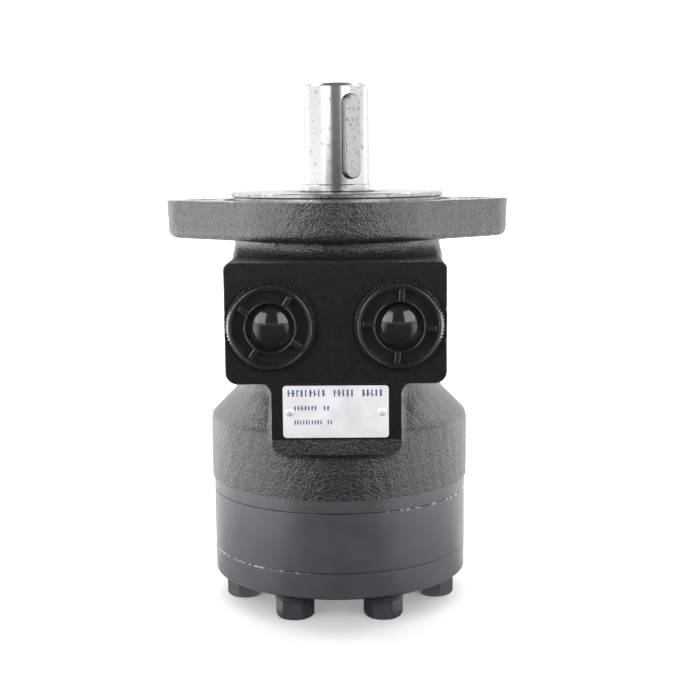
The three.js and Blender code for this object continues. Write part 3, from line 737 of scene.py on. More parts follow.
def pick_housing(c, n):
    """0 cast skin, 1 smooth painted port face and pad, 2 bare turned seat, 3 bare bores, 4 machined flange face"""
    x, y, z = c[:, 0], c[:, 1], c[:, 2]
    R = np.hypot(x, y)
    m = np.zeros(len(c), int)
    front = (n[:, 1] < -0.9) & (y < -52.3) & (z < -18)
    m[front & (z > -84.6)] = 1
    top = (n[:, 2] > 0.35) & (z > -1.0)
    m[top] = 4
    m[(R < 44.6) & (z > -3.6)] = 2
    m[(R < 20.8) & (z < -3.0) & ((n[:, 0] * x + n[:, 1] * y) < 0.2 * R)] = 3
    for s in (-1, 1):
        rp = np.hypot(x - s * 22.9, z + 43.5)
        m[(rp < 12.3) & (y < -33) & (y > -52.98)] = 3
    m[(z < Z_HOUS + 2.2) & (n[:, 2] < -0.7)] = 3
    return m


put_quads("casting", hv, hq, [CAST, SMOOTH, PILOT, BORE, TOPFACE], pick_housing, nodes=["housing"])


# ------------------------------------------------ spacer, gear ring, cover
def edge_loops(r, z0, z1, n, bevel, top_first=True):
    """rings of points down an outer wall with both edges broken; r is the wall radius"""
    a = [(r - bevel, z1), (r - bevel * 0.29, z1 - bevel * 0.29), (r, z1 - bevel)]
    b = [(r, z0 + bevel), (r - bevel * 0.29, z0 + bevel * 0.29), (r - bevel, z0)]
    return a + b


def gear_pockets(arc=26, bore=16):
    pts = []
    dl = math.degrees(math.acos((31 ** 2 + 30.3 ** 2 - 6.56 ** 2) / (2 * 31 * 30.3)))
    for a in ROLLER_A:
        cx, cy = pol(31, a)
        sx, sy = pol(30.3, a - dl)
        ph = (math.degrees(math.atan2(sy - cy, sx - cx)) - a + 180) % 360 - 180
        for i in range(arc + 1):
            t = a + ph * (1 - 2 * i / arc)
            pts.append((cx + 6.56 * math.cos(t * D2R), cy + 6.56 * math.sin(t * D2R)))
        for i in range(1, bore):
            pts.append(pol(30.3, a + dl + (360 / 7 - 2 * dl) * i / bore))
    return pts


screw_holes = [(*pol(38.6, a), 4.3) for a in SCREW_A]
passages = [(*pol(28.0, a), 2.4) for a in SCREW_A]
circle = lambda r, n: [(r * math.cos(TAU * k / n), r * math.sin(TAU * k / n)) for k in range(n)]
b = 0.34
put_mats = [SATIN, GROUND, WORN_A, WORN_B, WORN_C, WORN_D]


def stack(name, z0, z1, r, inner, holes, groove, m_top, m_low, extra=None):
    wall = edge_loops(r, z0, z1, 0, b)
    em = [m_top, m_top, 0, m_low, m_low]
    if extra:
        wall = wall[:3] + extra
        em = [m_top, m_top] + [0] + [m_low] * (len(extra) - 1)
    bd = Builder()
    n = 240
    walls = [bd.circle(rr, zz, n) for rr, zz in wall]
    bd.chain(walls, em)
    tops, bots = [], []
    if inner is not None:
        a, c = bd.loop(inner, z1), bd.loop(inner, z0)
        bd.wall(c, a, 1)
        tops.append(a)
        bots.append(c)
    for cx, cy, hr in holes:
        q = [bd.circle(hr + 0.4, z1, 40, cx, cy), bd.circle(hr, z1 - 0.4, 40, cx, cy),
             bd.circle(hr, z0 + 0.4, 40, cx, cy), bd.circle(hr + 0.4, z0, 40, cx, cy)]
        bd.chain(q, [1, 1, 1])
        tops.append(q[0])
        bots.append(q[3])
    cap_low = 0 if extra else 1
    if groove is None:
        bd.cap(walls[0], tops, 1)
        bd.cap(walls[-1], bots, cap_low)
    else:
        low = groove < (z0 + z1) / 2
        zf = z0 if low else z1
        g = [bd.circle(44.1, zf, n), bd.circle(44.1, groove, n), bd.circle(46.9, groove, n), bd.circle(46.9, zf, n)]
        bd.chain(g, [1, 1, 1])
        bd.cap(walls[-1] if low else walls[0], [g[3]], 1)
        bd.cap(g[0], bots if low else tops, 1)
        bd.cap(walls[0] if low else walls[-1], tops if low else bots, cap_low if not low else 1)
    return put(name + "_skin", bd, put_mats, nodes=[name])


stack("spacer_plate", Z_SPAC, Z_HOUS, 49.95, circle(14.5, 96), screw_holes + passages, Z_SPAC + 2.0, 2, 3)
stack("stator_ring", Z_RING, Z_SPAC, 49.95, gear_pockets(), screw_holes, None, 3, 4)
low_edge = [p[:2] for p in arc_profile([(49.9, -140.0), (49.9, Z_COVER, 0.55), (44.0, Z_COVER)], 3)][1:-1]
stack("end_cover", Z_COVER, Z_RING, 49.9, None, screw_holes, Z_RING - 2.0, 4, 5, extra=low_edge)


# ------------------------------------------------------ screws and washers
def hex_r(af, turn, soft=0.0):
    def f(a):
        t = (a - turn + math.pi / 6) % (math.pi / 3) - math.pi / 6
        return af / 2 / math.cos(t)
    return f


Z_TOP = box_mm("screw_washer_1")[0][2]
HEX_TURN = [-93, -45, 39, 92, 140, -78, -96]
for k in range(7):
    x, y = pol(38.6, SCREW_A[k])
    turn = HEX_TURN[k] * D2R
    h = hex_r(13.0, turn)
    bd = Builder()
    lim = lambda r, h=h: (lambda a: min(h(a), r))
    levels = [(0, Z_HEAD + 0.35, 1), (4.3, Z_HEAD + 0.35, 1), (4.7, Z_HEAD, 1), (5.6, Z_HEAD, 1), (5.95, Z_HEAD + 0.12, 1)]
    for i in range(1, 9):
        s = i / 8
        levels.append((lim(5.95 + 1.65 * math.sin(s * math.pi / 2)), Z_HEAD + 0.12 + 1.9 * (1 - math.cos(s * math.pi / 2)) ** 0.9, 0))
    levels += [(lim(7.6), Z_TOP - 2.15, 0), (lim(7.62), Z_TOP - 1.9, 0), (7.45, Z_TOP - 1.78, 0), (7.75, Z_TOP - 1.6, 0), (7.85, Z_TOP - 1.3, 0),
               (7.85, Z_TOP - 0.15, 0), (7.7, Z_TOP, 0), (3.9, Z_TOP, 0), (3.9, -112.0, 2)]
    z = -112.0
    while z < -92.2:
        levels += [(3.9, z, 2), (3.42, z + 0.62, 2)]
        z += 1.25
    levels += [(3.3, -90.9, 2), (3.0, -90.5, 2), (0, -90.5, 2)]
    loft(bd, levels, 96, x, y)
    put(f"cover_screw_{k + 1}_head", bd, [BOLT, BOLT_END, GROUND], nodes=[f"cover_screw_{k + 1}"], sharp=24)
    bd = Builder()
    lathe(bd, [(4.25, Z_TOP, 0.2), (7.95, Z_TOP, 0.3), (7.95, Z_COVER, 0.3), (4.25, Z_COVER, 0.2)], 72, x, y, seg=3, closed=True)
    put(f"screw_washer_{k + 1}_ring", bd, [WASHER], nodes=[f"screw_washer_{k + 1}"])


# ------------------------------------------------------------ seals, races
def turned(name, node, points, mats, n=144, seg=3, cx=0, cy=0, closed=True, **kw):
    bd = Builder()
    lathe(bd, points, n, cx, cy, seg=seg, closed=closed)
    return put(name, bd, mats, nodes=[node], **kw)


def o_ring(name, node, z):
    bd = Builder()
    lathe(bd, [(45.5 + 0.95 * math.cos(TAU * i / 16), z + 0.95 * math.sin(TAU * i / 16)) for i in range(16)], 200, closed=True, dense=False)
    put(name, bd, [RUBBER], nodes=[node])


o_ring("housing_o_ring_cord", "housing_o_ring", Z_HOUS + 1.0)
o_ring("spacer_o_ring_cord", "spacer_o_ring", Z_SPAC + 1.0)
o_ring("cover_o_ring_cord", "cover_o_ring", Z_RING - 1.0)
turned("dust_seal_case", "dust_seal", [(13.45, 0.9, 0.1, 1), (16.6, 0.7, 0.3, 1), (17.0, -3.0, 0.3, 1), (14.6, -3.4, 0.2, 1), (14.6, -4.6, 0.2, 0),
                                       (20.0, -4.6, 0.4, 0), (20.0, 2.75, 0.5, 0), (18.2, 2.75, 0.3, 0), (17.7, 2.2, 0.3, 1), (15.6, 2.3, 0.4, 1),
                                       (14.3, 3.15, 0.35, 1), (13.45, 3.2, 0.15, 1)], [SEALCASE, RUBBER], n=180)
turned("spigot_turned", "housing", [(20.1, -3.4, 0, 1), (44.34, -3.4), (44.34, -0.8), (40.35, -0.8, 0.2), (40.35, 0.95, 0.2), (41.25, 1.35, 0.15), (41.25, 2.5, 0.1),
                                   (40.85, 2.9, 0.1), (20.8, 2.9, 0.1, 1), (20.1, 2.2, 0.1, 1)], [PILOT, BORE], n=240)
turned("shaft_seal_lip", "shaft_seal", [(14.6, -5.2, 0.2), (20.0, -5.2, 0.3), (20.0, -12.0, 0.3), (15.0, -12.0, 0.3), (13.45, -11.0, 0.1), (13.45, -10.3, 0.1),
                                        (15.2, -9.2, 0.4), (15.2, -7.0, 0.3)], [RUBBER])
turned("seal_backup_washer", "seal_backup_ring", [(14.6, -13.5, 0.2), (20.0, -13.5, 0.2), (20.0, -12.15, 0.2), (14.6, -12.15, 0.2)], [GROUND])
turned("thrust_race_ring", "thrust_race", [(14.9, -18.65, 0.2), (20.3, -18.65, 0.25), (20.3, -17.65, 0.25), (14.9, -17.65, 0.2)], [GROUND])


def needle_cage():
    bd = Builder()
    lathe(bd, [(14.9, -21.2, 0.2), (20.2, -21.2, 0.2), (20.2, -19.5, 0.2), (14.9, -19.5, 0.2)], 144, seg=3, closed=True)
    for k in range(12):
        a = (k * 30 + 3.0) * D2R
        nb = Builder()
        lathe(nb, [(0, 15.6), (1.5, 15.6, 0.25), (1.5, 19.5, 0.25), (0, 19.5)], 28, seg=3)
        ca, sa = math.cos(a), math.sin(a)
        base = len(bd.v)
        bd.v += [(ca * q[2] - sa * q[1], sa * q[2] + ca * q[1], -20.33 + q[0]) for q in nb.v]
        bd.f += [tuple(i + base for i in f) for f in nb.f]
        bd.m += [1] * len(nb.f)
    put("needle_cage", bd, [BRASS, GROUND], nodes=["thrust_bearing"])


needle_cage()
for i, k in enumerate((2, 5)):
    x, y = pol(32, ROLLER_A[k])
    turned(f"check_seat_{i + 1}_sleeve", f"check_seat_{i + 1}", [(1.3, -107.9, 0.15), (3.15, -107.9, 0.3), (3.15, -104.0, 0.2), (1.9, -104.0, 0.1), (1.3, -104.6, 0.1)],
           [BRASS], n=40, cx=x, cy=y)
    bd = Builder()
    lathe(bd, [(2.4 * math.sin(math.pi * j / 24) if 0 < j < 24 else 0, -101.85 - 2.4 * math.cos(math.pi * j / 24)) for j in range(25)], 48, x, y, dense=False)
    put(f"check_ball_{i + 1}_ball", bd, [GROUND], nodes=[f"check_ball_{i + 1}"])


# --------------------------------------------------------------- gear set
def rotor_outline(n=504):
    off = 6.5 + 0.1
    fine = 10080
    s = np.linspace(0, TAU, fine + 1)
    x, y = 31 * np.cos(s) + 2.7 * np.cos(7 * s), 31 * np.sin(s) + 2.7 * np.sin(7 * s)
    dx, dy = -31 * np.sin(s) - 18.9 * np.sin(7 * s), 31 * np.cos(s) + 18.9 * np.cos(7 * s)
    l = np.hypot(dx, dy)
    return x - dy / l * off, y + dx / l * off, n


def gear_rotor():
    x, y, n = rotor_outline()
    along = np.concatenate([[0], np.cumsum(np.hypot(np.diff(x), np.diff(y)))])
    want = along[-1] * np.arange(n) / n
    out = [(float(np.interp(w, along, x)), float(np.interp(w, along, y)) - 2.7) for w in want]
    star = []
    for k in range(12):
        c = k * 30
        star += [pol(11.3, c - 10.5), pol(12.9, c - 6.0)] + [pol(12.9, c + t) for t in (-3.0, 0.0, 3.0)] + [pol(12.9, c + 6.0), pol(11.3, c + 10.5)]
    z0, z1 = Z_RING + 0.07, Z_SPAC - 0.07
    bd = Builder()
    cen = np.array([0.0, -2.7])

    def shrink(pts, d):
        return [tuple(np.array(p) - (np.array(p) - cen) / np.linalg.norm(np.array(p) - cen) * d) for p in pts]
    st = [(p[0], p[1] - 2.7) for p in star]
    o = [bd.loop(shrink(out, 0.3), z1), bd.loop(out, z1 - 0.3), bd.loop(out, z0 + 0.3), bd.loop(shrink(out, 0.3), z0)]
    i = [bd.loop(shrink(st, -0.25), z1), bd.loop(st, z1 - 0.25), bd.loop(st, z0 + 0.25), bd.loop(shrink(st, -0.25), z0)]
    bd.chain(o)
    bd.chain(i)
    bd.cap(o[0], [i[0]])
    bd.cap(o[3], [i[3]])
    put("gear_rotor", bd, [GROUND], nodes=["rotor"], sharp=28)


gear_rotor()
for k in range(7):
    x, y = pol(31, ROLLER_A[k])
    bd = Builder()
    lathe(bd, [(0, Z_RING + 0.07), (6.5, Z_RING + 0.07, 0.45), (6.5, Z_SPAC - 0.07, 0.45), (0, Z_SPAC - 0.07)], 72, x, y, seg=4)
    put(f"roller_{k + 1}_pin", bd, [GROUND], nodes=[f"roller_{k + 1}"])
bd = Builder()
lathe(bd, [(0, Z_RING + 0.12), (10.2, Z_RING + 0.12, 0.6), (10.2, -131.6, 0.6), (3.0, -131.6, 0.3), (2.6, -132.2, 0.3), (0, -132.2)], 72, 0, -2.7, seg=4)
put("drive_puck", bd, [GROUND], nodes=["drive_spacer"])


# --------------------------------------- contoured turned and splined parts
def cyl_d(R, z, r, z0, z1, c=0.0):
    """turned cylinder with both edges broken by c"""
    d = np.maximum(R - r, np.maximum(z - z1, z0 - z))
    if c:
        d = np.maximum(d, np.maximum((R - r + z - z1 + c) * 0.70711, (R - r + z0 - z + c) * 0.70711))
    return d


def star_d(x, y, r_out, a_out, r_in, a_in):
    """twelve-groove spline outline"""
    R = np.hypot(x, y)
    t = np.arctan2(y, x)
    t = np.abs((t + math.pi / 12) % (math.pi / 6) - math.pi / 12)
    u, w = R * np.cos(t), R * np.sin(t)
    p1, p2 = np.array(pol(r_out, a_out)), np.array(pol(r_in, a_in))
    e = (p2 - p1) / np.linalg.norm(p2 - p1)
    side = (u - p1[0]) * -e[1] + (w - p1[1]) * e[0]
    hub = R * np.cos(math.pi / 12 - t) - r_in * math.cos((15 - a_in) * D2R)
    return np.minimum(np.maximum(R - r_out, side), hub)


KEY_A = (-90 + 25.5) * D2R
KD, KT = (math.cos(KEY_A), math.sin(KEY_A)), (-math.sin(KEY_A), math.cos(KEY_A))


def stadium(x, y, z, hw, z0, z1):
    w = x * KT[0] + y * KT[1]
    zz = z - np.clip(z, z0 + hw, z1 - hw)
    return np.hypot(w, zz) - hw


def shaft_d(x, y, z):
    R = np.hypot(x, y)
    d = cyl_d(R, z, 20.44, -106.5, -22.0, 0.6)
    d = np.minimum(d, cyl_d(R, z, 14.2, -30.0, -13.8, 0.2))
    d = np.minimum(d, cyl_d(R, z, 13.3, -20.0, 5.7, 0.25))
    d = np.minimum(d, cyl_d(R, z, 12.7, -10.0, Z_END, 1.3))
    cut = np.maximum(18.84 - R, np.minimum(np.abs(z + 38.0), np.abs(z + 66.0)) - 3.5)
    cut = np.minimum(cut, np.maximum(R - 15.2, z + 54.0))
    cut = np.minimum(cut, np.maximum(star_d(x, y, 12.9, 6.0, 11.3, 10.5), np.maximum(z + 35.0, -55.0 - z)))
    cut = np.minimum(cut, np.maximum(R - 9.5, np.maximum(z + 33.0, -37.0 - z)))
    u = x * KD[0] + y * KD[1]
    cut = np.minimum(cut, np.maximum(stadium(x, y, z, 3.345, 7.7, 39.95), 9.0 - u))
    a = np.arctan2(y, x) - (-90 + 15) * D2R
    k = np.round(a / (math.pi / 6))
    t = a - k * math.pi / 6
    u2, w2 = R * np.cos(t), R * np.sin(t)
    up = (k.astype(int) % 2) == 0
    z0 = np.where(up, -57.0, -69.0)
    z1 = np.where(up, -35.0, -51.0)
    cut = np.minimum(cut, np.maximum(np.maximum(np.abs(w2) - 1.7, 18.84 - u2), np.maximum(z - z1, z0 - z)))
    return np.maximum(d, -cut)


def key_d(x, y, z):
    u = x * KD[0] + y * KD[1]
    side = stadium(x, y, z, 3.175, 7.95, 39.7)
    return np.maximum(rnd(side, u - 15.45, 0.45), 9.1 - u)


def cardan_d(x, y, z):
    """upright about its own axis, pivot at the origin"""
    R = np.hypot(x, y)
    run = math.hypot(79.6, 2.7)
    d = cyl_d(R, z, 10.2, -run - 7.2, -run + 8.4, 1.0)
    d = np.minimum(d, cyl_d(R, z, 10.2, -9.2, 8.4, 1.0))
    d = fil(d, cyl_d(R, z, 8.5, -run - 5.0, 5.0), 1.5)
    s = star_d(x, y, 12.45, 4.97, 10.85, 9.13)
    up = np.maximum(np.maximum(s, z - 7.4), np.maximum(-8.2 - z, (R - 12.45 + np.abs(z + 0.4) - 7.2) * 0.70711))
    lo = np.maximum(np.maximum(s, z + run - 7.4), np.maximum(-run - 6.2 - z, (R - 12.45 + np.abs(z + run - 0.6) - 6.2) * 0.70711))
    return np.minimum(d, np.minimum(up, lo))


def analytic(ob, sdf, offset=None, matrix=None):
    """true surface normals at every corner, read a little inside each face so that edges stay crisp"""
    me = ob.data
    n = len(me.loops)
    vi = np.zeros(n, np.int32)
    me.loops.foreach_get("vertex_index", vi)
    co = np.zeros(len(me.vertices) * 3)
    me.vertices.foreach_get("co", co)
    co = (co.reshape(-1, 3) - np.array([0, 0, ZD])) * 1e3
    if offset is not None:
        co = co - np.array(offset)
    ls = np.zeros(len(me.polygons), np.int32)
    lt = np.zeros(len(me.polygons), np.int32)
    me.polygons.foreach_get("loop_start", ls)
    me.polygons.foreach_get("loop_total", lt)
    cen = np.zeros(len(me.polygons) * 3)
    nor = np.zeros(len(me.polygons) * 3)
    me.polygons.foreach_get("center", cen)
    me.polygons.foreach_get("normal", nor)
    cen = (cen.reshape(-1, 3) - np.array([0, 0, ZD])) * 1e3
    if offset is not None:
        cen = cen - np.array(offset)
    face = np.repeat(np.arange(len(lt)), lt)
    P = co[vi] * 0.72 + cen[face] * 0.28
    if matrix is not None:
        P = P @ matrix
    g = gradient(sdf, P)
    if matrix is not None:
        g = g @ matrix.T
    fn = nor.reshape(-1, 3)[face]
    bad = (g * fn).sum(1) < 0.55
    g[bad] = fn[bad]
    me.normals_split_custom_set(g.astype(np.float32).tolist())


def pick_shaft(c, n):
    """0 bright turned, 1 end face, 2 keyway walls coloured near-black as painted shade, 3 hidden ground"""
    R = np.hypot(c[:, 0], c[:, 1])
    m = np.zeros(len(c), int)
    m[(c[:, 2] > Z_END - 0.02)] = 1
    m[(R < 12.45) & (c[:, 2] > 6.5) & (c[:, 2] < 41.0)] = 2
    m[c[:, 2] < -5] = 3
    return m


def contoured(name, sdf, lo, hi, h, mats, pick=None, nodes=None, y_min=None, keep=True):
    v, q = contour(sdf, lo, hi, h)
    ob = put_quads(name, v, q, mats, pick, nodes=nodes, soft_area=False, sharp=34)
    analytic(ob, sdf)
    return ob


contoured("shaft_turned", shaft_d, (-21, -21, -107.2), (21, 21, Z_END + 0.7), 0.55, [BRIGHT, SHAFT_END, KEYWAY_SHADE, GROUND], pick_shaft, nodes=["output_shaft"])
contoured("key_bar", key_d, (2, -17, 7.2), (11, -5, 40.4), 0.27, [KEYSTEEL], nodes=["shaft_key"])

tilt = -math.atan(2.7 / 79.6)
ROT = np.array([[1, 0, 0], [0, math.cos(tilt), -math.sin(tilt)], [0, math.sin(tilt), math.cos(tilt)]])
cv, cq = contour(cardan_d, (-13, -13, -88), (13, 13, 9), 0.55)
ob = put_quads("cardan_splined", cv @ ROT.T + np.array([0, 0, -44.0]), cq, [GROUND], nodes=["cardan_shaft"], soft_area=False, sharp=34)
analytic(ob, cardan_d, offset=(0, 0, -44.0), matrix=ROT)


# ------------------------------------------------- name plate and its pins
def sheet(bd, x0, x1, z0, z1, y0, y1, r, mats=(0, 0, 0), edge=0.0, holes=()):
    """flat rounded sheet in the pad's plane; y0 is the front"""
    def ring(inset, y):
        pts = []
        for cx, cz, a0 in ((x1 - r, z1 - r, 0), (x0 + r, z1 - r, 90), (x0 + r, z0 + r, 180), (x1 - r, z0 + r, 270)):
            for i in range(7):
                a = (a0 + i * 15) * D2R
                pts.append((cx + (r - inset) * math.cos(a), y, cz + (r - inset) * math.sin(a)))
        i0 = len(bd.v)
        bd.v += pts
        return list(range(i0, len(bd.v)))

    def cap(loop, hl, mat):
        loops = [loop] + hl
        flat = [i for l in loops for i in l]
        for t in tessellate_polygon([[Vector((bd.v[i][0], bd.v[i][2], 0)) for i in l] for l in loops]):
            bd.f.append(tuple(flat[i] for i in t))
            bd.m.append(mat)
    a, a1, c1, c = ring(edge, y0), ring(0, y0 + edge), ring(0, y1 - 0.02), ring(0.02, y1)
    bd.wall(a, a1, mats[1])
    bd.wall(a1, c1, mats[1])
    bd.wall(c1, c, mats[1])
    fl, bl = [], []
    for hx, hz, hr in holes:
        lp = []
        for rr, yy in ((hr + 0.25, y0), (hr, y0 + 0.2), (hr, y1)):
            i0 = len(bd.v)
            bd.v += [(hx + rr * math.cos(TAU * k / 32), yy, hz + rr * math.sin(TAU * k / 32)) for k in range(32)]
            lp.append(list(range(i0, len(bd.v))))
        bd.wall(lp[0], lp[1], mats[1])
        bd.wall(lp[1], lp[2], mats[1])
        fl.append(lp[0])
        bl.append(lp[2])
    cap(a, fl, mats[0])
    cap(c, bl, mats[2])


bd = Builder()
sheet(bd, -19.2, 18.8, -84.0, -65.0, -53.1, -52.6, 1.2, edge=0.12, holes=[(-16.9, -74.4, 1.2), (16.5, -74.4, 1.2)])
rs = np.random.RandomState(11)


def print_row(x0, x1, z0, z1, stroke, words):
    """a row of blank ink ticks grouped like a line of print; it spells nothing"""
    span = (x1 - x0)
    total = sum(words) + 1.6 * (len(words) - 1)
    unit = span / total
    x = x0
    for w in words:
        for _ in range(w):
            t = unit * (0.30 + 0.16 * rs.rand())
            o = unit * 0.12
            sheet(bd, x + o, x + o + t, z0 + 0.0, z1, -53.112, -53.099, min(0.08, t * 0.3), mats=(1, 1, 1))
            if rs.rand() < 0.55:
                zc = z0 + (z1 - z0) * (0.15 + 0.7 * rs.rand())
                sheet(bd, x + o + t, x + unit * 0.86, zc - stroke * 0.5, zc + stroke * 0.5, -53.112, -53.099, stroke * 0.2, mats=(1, 1, 1))
            x += unit
        x += 1.6 * unit


print_row(-17.6, 17.0, -68.9, -66.4, 0.35, [9, 5, 5])
print_row(-15.2, -2.2, -73.9, -72.3, 0.22, [7, 2])
print_row(-15.2, -1.2, -79.1, -77.5, 0.22, [10, 2])
put("plate_sheet", bd, [PLATE, INK], nodes=["name_plate"], fix=False)
for name, x in (("left", -16.9), ("right", 16.5)):
    nb = Builder()
    lathe(nb, [(0, -4.0), (0.95, -4.0, 0.2), (0.95, -0.15), (1.7, -0.02, 0.1), (1.66, 0.2, 0.15), (1.25, 0.52, 0.5), (0.6, 0.68, 0.5), (0, 0.7)], 48, seg=5)
    nb.v = [(x + q[0], -53.1 - q[2], -74.4 + q[1]) for q in nb.v]
    put(f"rivet_{name}", nb, [RIVET], nodes=[f"plate_rivet_{name}"])


# --------------------------------------------------------- shipping plugs
def plug_d(x, y, z):
    """moulded plug about its own axis; +z points out of the port, y is up"""
    R = np.hypot(x, y)
    th = np.arctan2(y, x)
    rib = 0.5 + 0.5 * np.cos(76 * th)
    side = 15.9 - np.clip(z - 1.9, 0, 3) * 0.42
    knurl = np.where((z > 0.9) & (z < 3.9), 0.32 * rib, 0.0)
    head = rnd(R - side + knurl, z - 4.5, 0.5)
    head = np.maximum(rnd(head, -z, 0.25), -z)
    stem = cyl_d(R, z, 9.9, -14.5, 1.0, 0.9)
    saw = np.abs(((z + 20) / 1.9) % 1 - 0.5) * 2
    stem = stem + np.where((z < -1.2) & (z > -13.2), 0.42 * saw, 0.0)
    d = np.minimum(head, stem)
    # ring pocket round the hub, crossed by four spokes
    pocket = np.maximum(np.maximum(9.35 - R, R - 13.35), 1.5 - z)
    c, s = np.cos(2 * th), np.sin(2 * th)
    a = (th + math.pi / 4) % (math.pi / 2) - math.pi / 4
    off = np.abs(R * np.sin(a))
    spoke = 0.95 - off
    pocket = np.maximum(pocket, spoke)
    step = np.maximum(np.maximum(13.0 - R, R - 13.95), 4.15 - z)
    # hub cup with a domed floor
    floor = 3.95 - 0.0375 * R * R
    cup = np.maximum(R - 8.45 - 0.12 * np.maximum(z - 2.0, 0), floor - z)
    cut = np.minimum(np.minimum(pocket, step), cup)
    well = np.maximum(R - 7.6, z + 0.6)
    cut = np.minimum(cut, well)
    return rnd(d, -cut, 0.26)


def plug(name, node, cx, cz, spin):
    v, q = PLUG_MESH
    a = spin * D2R
    rot = np.array([[math.cos(a), -math.sin(a), 0], [math.sin(a), math.cos(a), 0], [0, 0, 1]])
    world = np.array([[1, 0, 0], [0, 0, -1], [0, 1, 0]])       # out of the port is -y, up is +z
    m = world @ rot
    at = np.array([cx, -52.55, cz])
    ob = put_quads(name, v @ m.T + at, q, [PLASTIC], nodes=[node], soft_area=False, sharp=34)
    analytic(ob, plug_d, offset=at, matrix=m)
    return ob


PLUG_MESH = contour(plug_d, (-16.6, -16.6, -15.2), (16.6, 16.6, 5.2), 0.34)
plug("plug_left_moulding", "port_plug_left", -23.1, -43.6, -33)
plug("plug_right_moulding", "port_plug_right", 22.7, -43.4, -4)


# ------------------------------------------------------------- drain plug
def drain_d(x, y, z):
    R = np.hypot(x, y)
    d = np.minimum(cyl_d(R, z, 8.8, 1.45, 5.2, 0.6), cyl_d(R, z, 5.6, -10.5, 2.0, 0.7) + np.where(z < 0.5, 0.28 * np.abs(((z + 20) / 1.25) % 1 - 0.5) * 2, 0))
    hexa = np.maximum(np.abs(x), np.maximum(np.abs(0.5 * x + 0.8660254 * y), np.abs(0.5 * x - 0.8660254 * y))) - 3.0
    sock = np.maximum(hexa, 2.2 - z)
    sock = np.minimum(sock, (R - 3.9 - (z - 5.2) * 1.6) * 0.53)
    return np.maximum(d, -sock)


dv, dq = contour(drain_d, (-9.5, -9.5, -11.2), (9.5, 9.5, 5.9), 0.36)
BACK = np.array([[1, 0, 0], [0, 0, 1], [0, -1, 0]])
ob = put_quads("drain_plug_socket", dv @ BACK.T + np.array([0, 42.05, -30.0]), dq, [BOLT], nodes=["drain_plug"], soft_area=False, sharp=34)
analytic(ob, drain_d, offset=(0, 42.05, -30.0), matrix=BACK)
nb = Builder()
lathe(nb, [(6.0, 0.0, 0.3), (9.4, 0.0, 0.3), (9.4, 1.4, 0.3), (6.0, 1.4, 0.3)], 96, seg=3, closed=True)
nb.v = [(q[0], 42.05 + q[2], -30.0 - q[1]) for q in nb.v]
put("drain_washer", nb, [RUBBER], nodes=["drain_plug_seal"])


# ------------------------------------------------------ stage, light, camera
def emitter(name, at, aim, w, h, power, colour=(1, 1, 1), spread=180):
    l = bpy.data.lights.new(name, "AREA")
    l.shape = "RECTANGLE"
    l.size, l.size_y = w, h
    l.energy = power
    l.color = colour
    l.spread = spread * D2R
    o = bpy.data.objects.new(name, l)
    bpy.context.scene.collection.objects.link(o)
    o.location = at
    o.rotation_euler = (Vector(aim) - Vector(at)).to_track_quat("-Z", "Y").to_euler()
    o.visible_camera = False
    return o


FLOOR_Z = CAD_LO[2]
MID = (0.0, 0.0, -0.1)


def cove():
    """pale floor that sweeps up behind the object"""
    me = bpy.data.meshes.new("cove")
    prof = [(-2.5, 0.0)]
    for k in range(17):
        a = k / 16 * math.pi / 2
        prof.append((1.1 + 0.6 * math.sin(a), 0.6 - 0.6 * math.cos(a)))
    prof.append((1.7, 3.0))
    vs, fs = [], []
    for i, (y, z) in enumerate(prof):
        vs += [(-4.0, y, FLOOR_Z + z), (4.0, y, FLOOR_Z + z)]
        if i:
            fs.append((2 * i - 2, 2 * i - 1, 2 * i + 1, 2 * i))
    me.from_pydata(vs, [], fs)
    for p in me.polygons:
        p.use_smooth = True
    o = bpy.data.objects.new("cove", me)
    bpy.context.scene.collection.objects.link(o)
    m = Mat("pale_floor")
    m.set("Base Color", m.mix(m.ramp(m.noise(60, 2.0), 0.3, 0.7), (0.80, 0.80, 0.80), (0.815, 0.815, 0.815)))
    m.set("Roughness", 0.8)
    m.set("Specular IOR Level", 0.15)
    # the object sees a dim floor and a bright sweep behind it; the camera sees both pale
    m.set("Emission Color", (1.0, 1.0, 1.0))
    m.set("Emission Strength", 0.22)
    lp = m.node("ShaderNodeLightPath")
    px, py, pz = m.xyz()
    rad = m.math("MAXIMUM", m.math("SQRT", m.math("ADD", m.math("MULTIPLY", px, px), m.math("MULTIPLY", py, py))), 0.001)
    sx, sy = m.math("DIVIDE", m.math("ABSOLUTE", px), rad), m.math("DIVIDE", py, rad)
    sides = m.math("MULTIPLY", m.ramp(sx, 0.50, 0.72, smooth=True), m.ramp(sy, -0.95, -0.6, 0.35, 1.0, smooth=True))
    sides = m.math("MULTIPLY", sides, m.ramp(m.math("DIVIDE", px, rad), 0.0, 0.3, 1.0, 0.82))
    rear = m.ramp(sy, 0.0, 0.5, 0.0, 1.0, smooth=True)
    front = m.math("MULTIPLY", m.math("ADD", m.math("MULTIPLY", sides, 3.4), 0.11), m.ramp(rad, 0.08, 0.40, 0.24, 1.0, smooth=True))
    lit = m.math("MAXIMUM", front, m.math("MULTIPLY", rear, 1.6))
    glow = m.node("ShaderNodeEmission")
    m.link(lit, glow.inputs["Strength"])
    glow.inputs["Color"].default_value = (0.985, 0.978, 1.0, 1.0)
    mx = m.node("ShaderNodeMixShader")
    m.link(lp.outputs["Is Camera Ray"], mx.inputs[0])
    m.link(glow.outputs[0], mx.inputs[1])
    m.link(m.bsdf.outputs[0], mx.inputs[2])
    m.link(mx.outputs[0], m.out.inputs["Surface"])
    me.materials.append(m.mat)
    return o


cove()
world = bpy.data.worlds.new("studio")
bpy.context.scene.world = world
world.use_nodes = True
wt = world.node_tree
bg = wt.nodes["Background"]
geo = wt.nodes.new("ShaderNodeTexCoord")
sep = wt.nodes.new("ShaderNodeSeparateXYZ")
wt.links.new(geo.outputs["Generated"], sep.inputs[0])
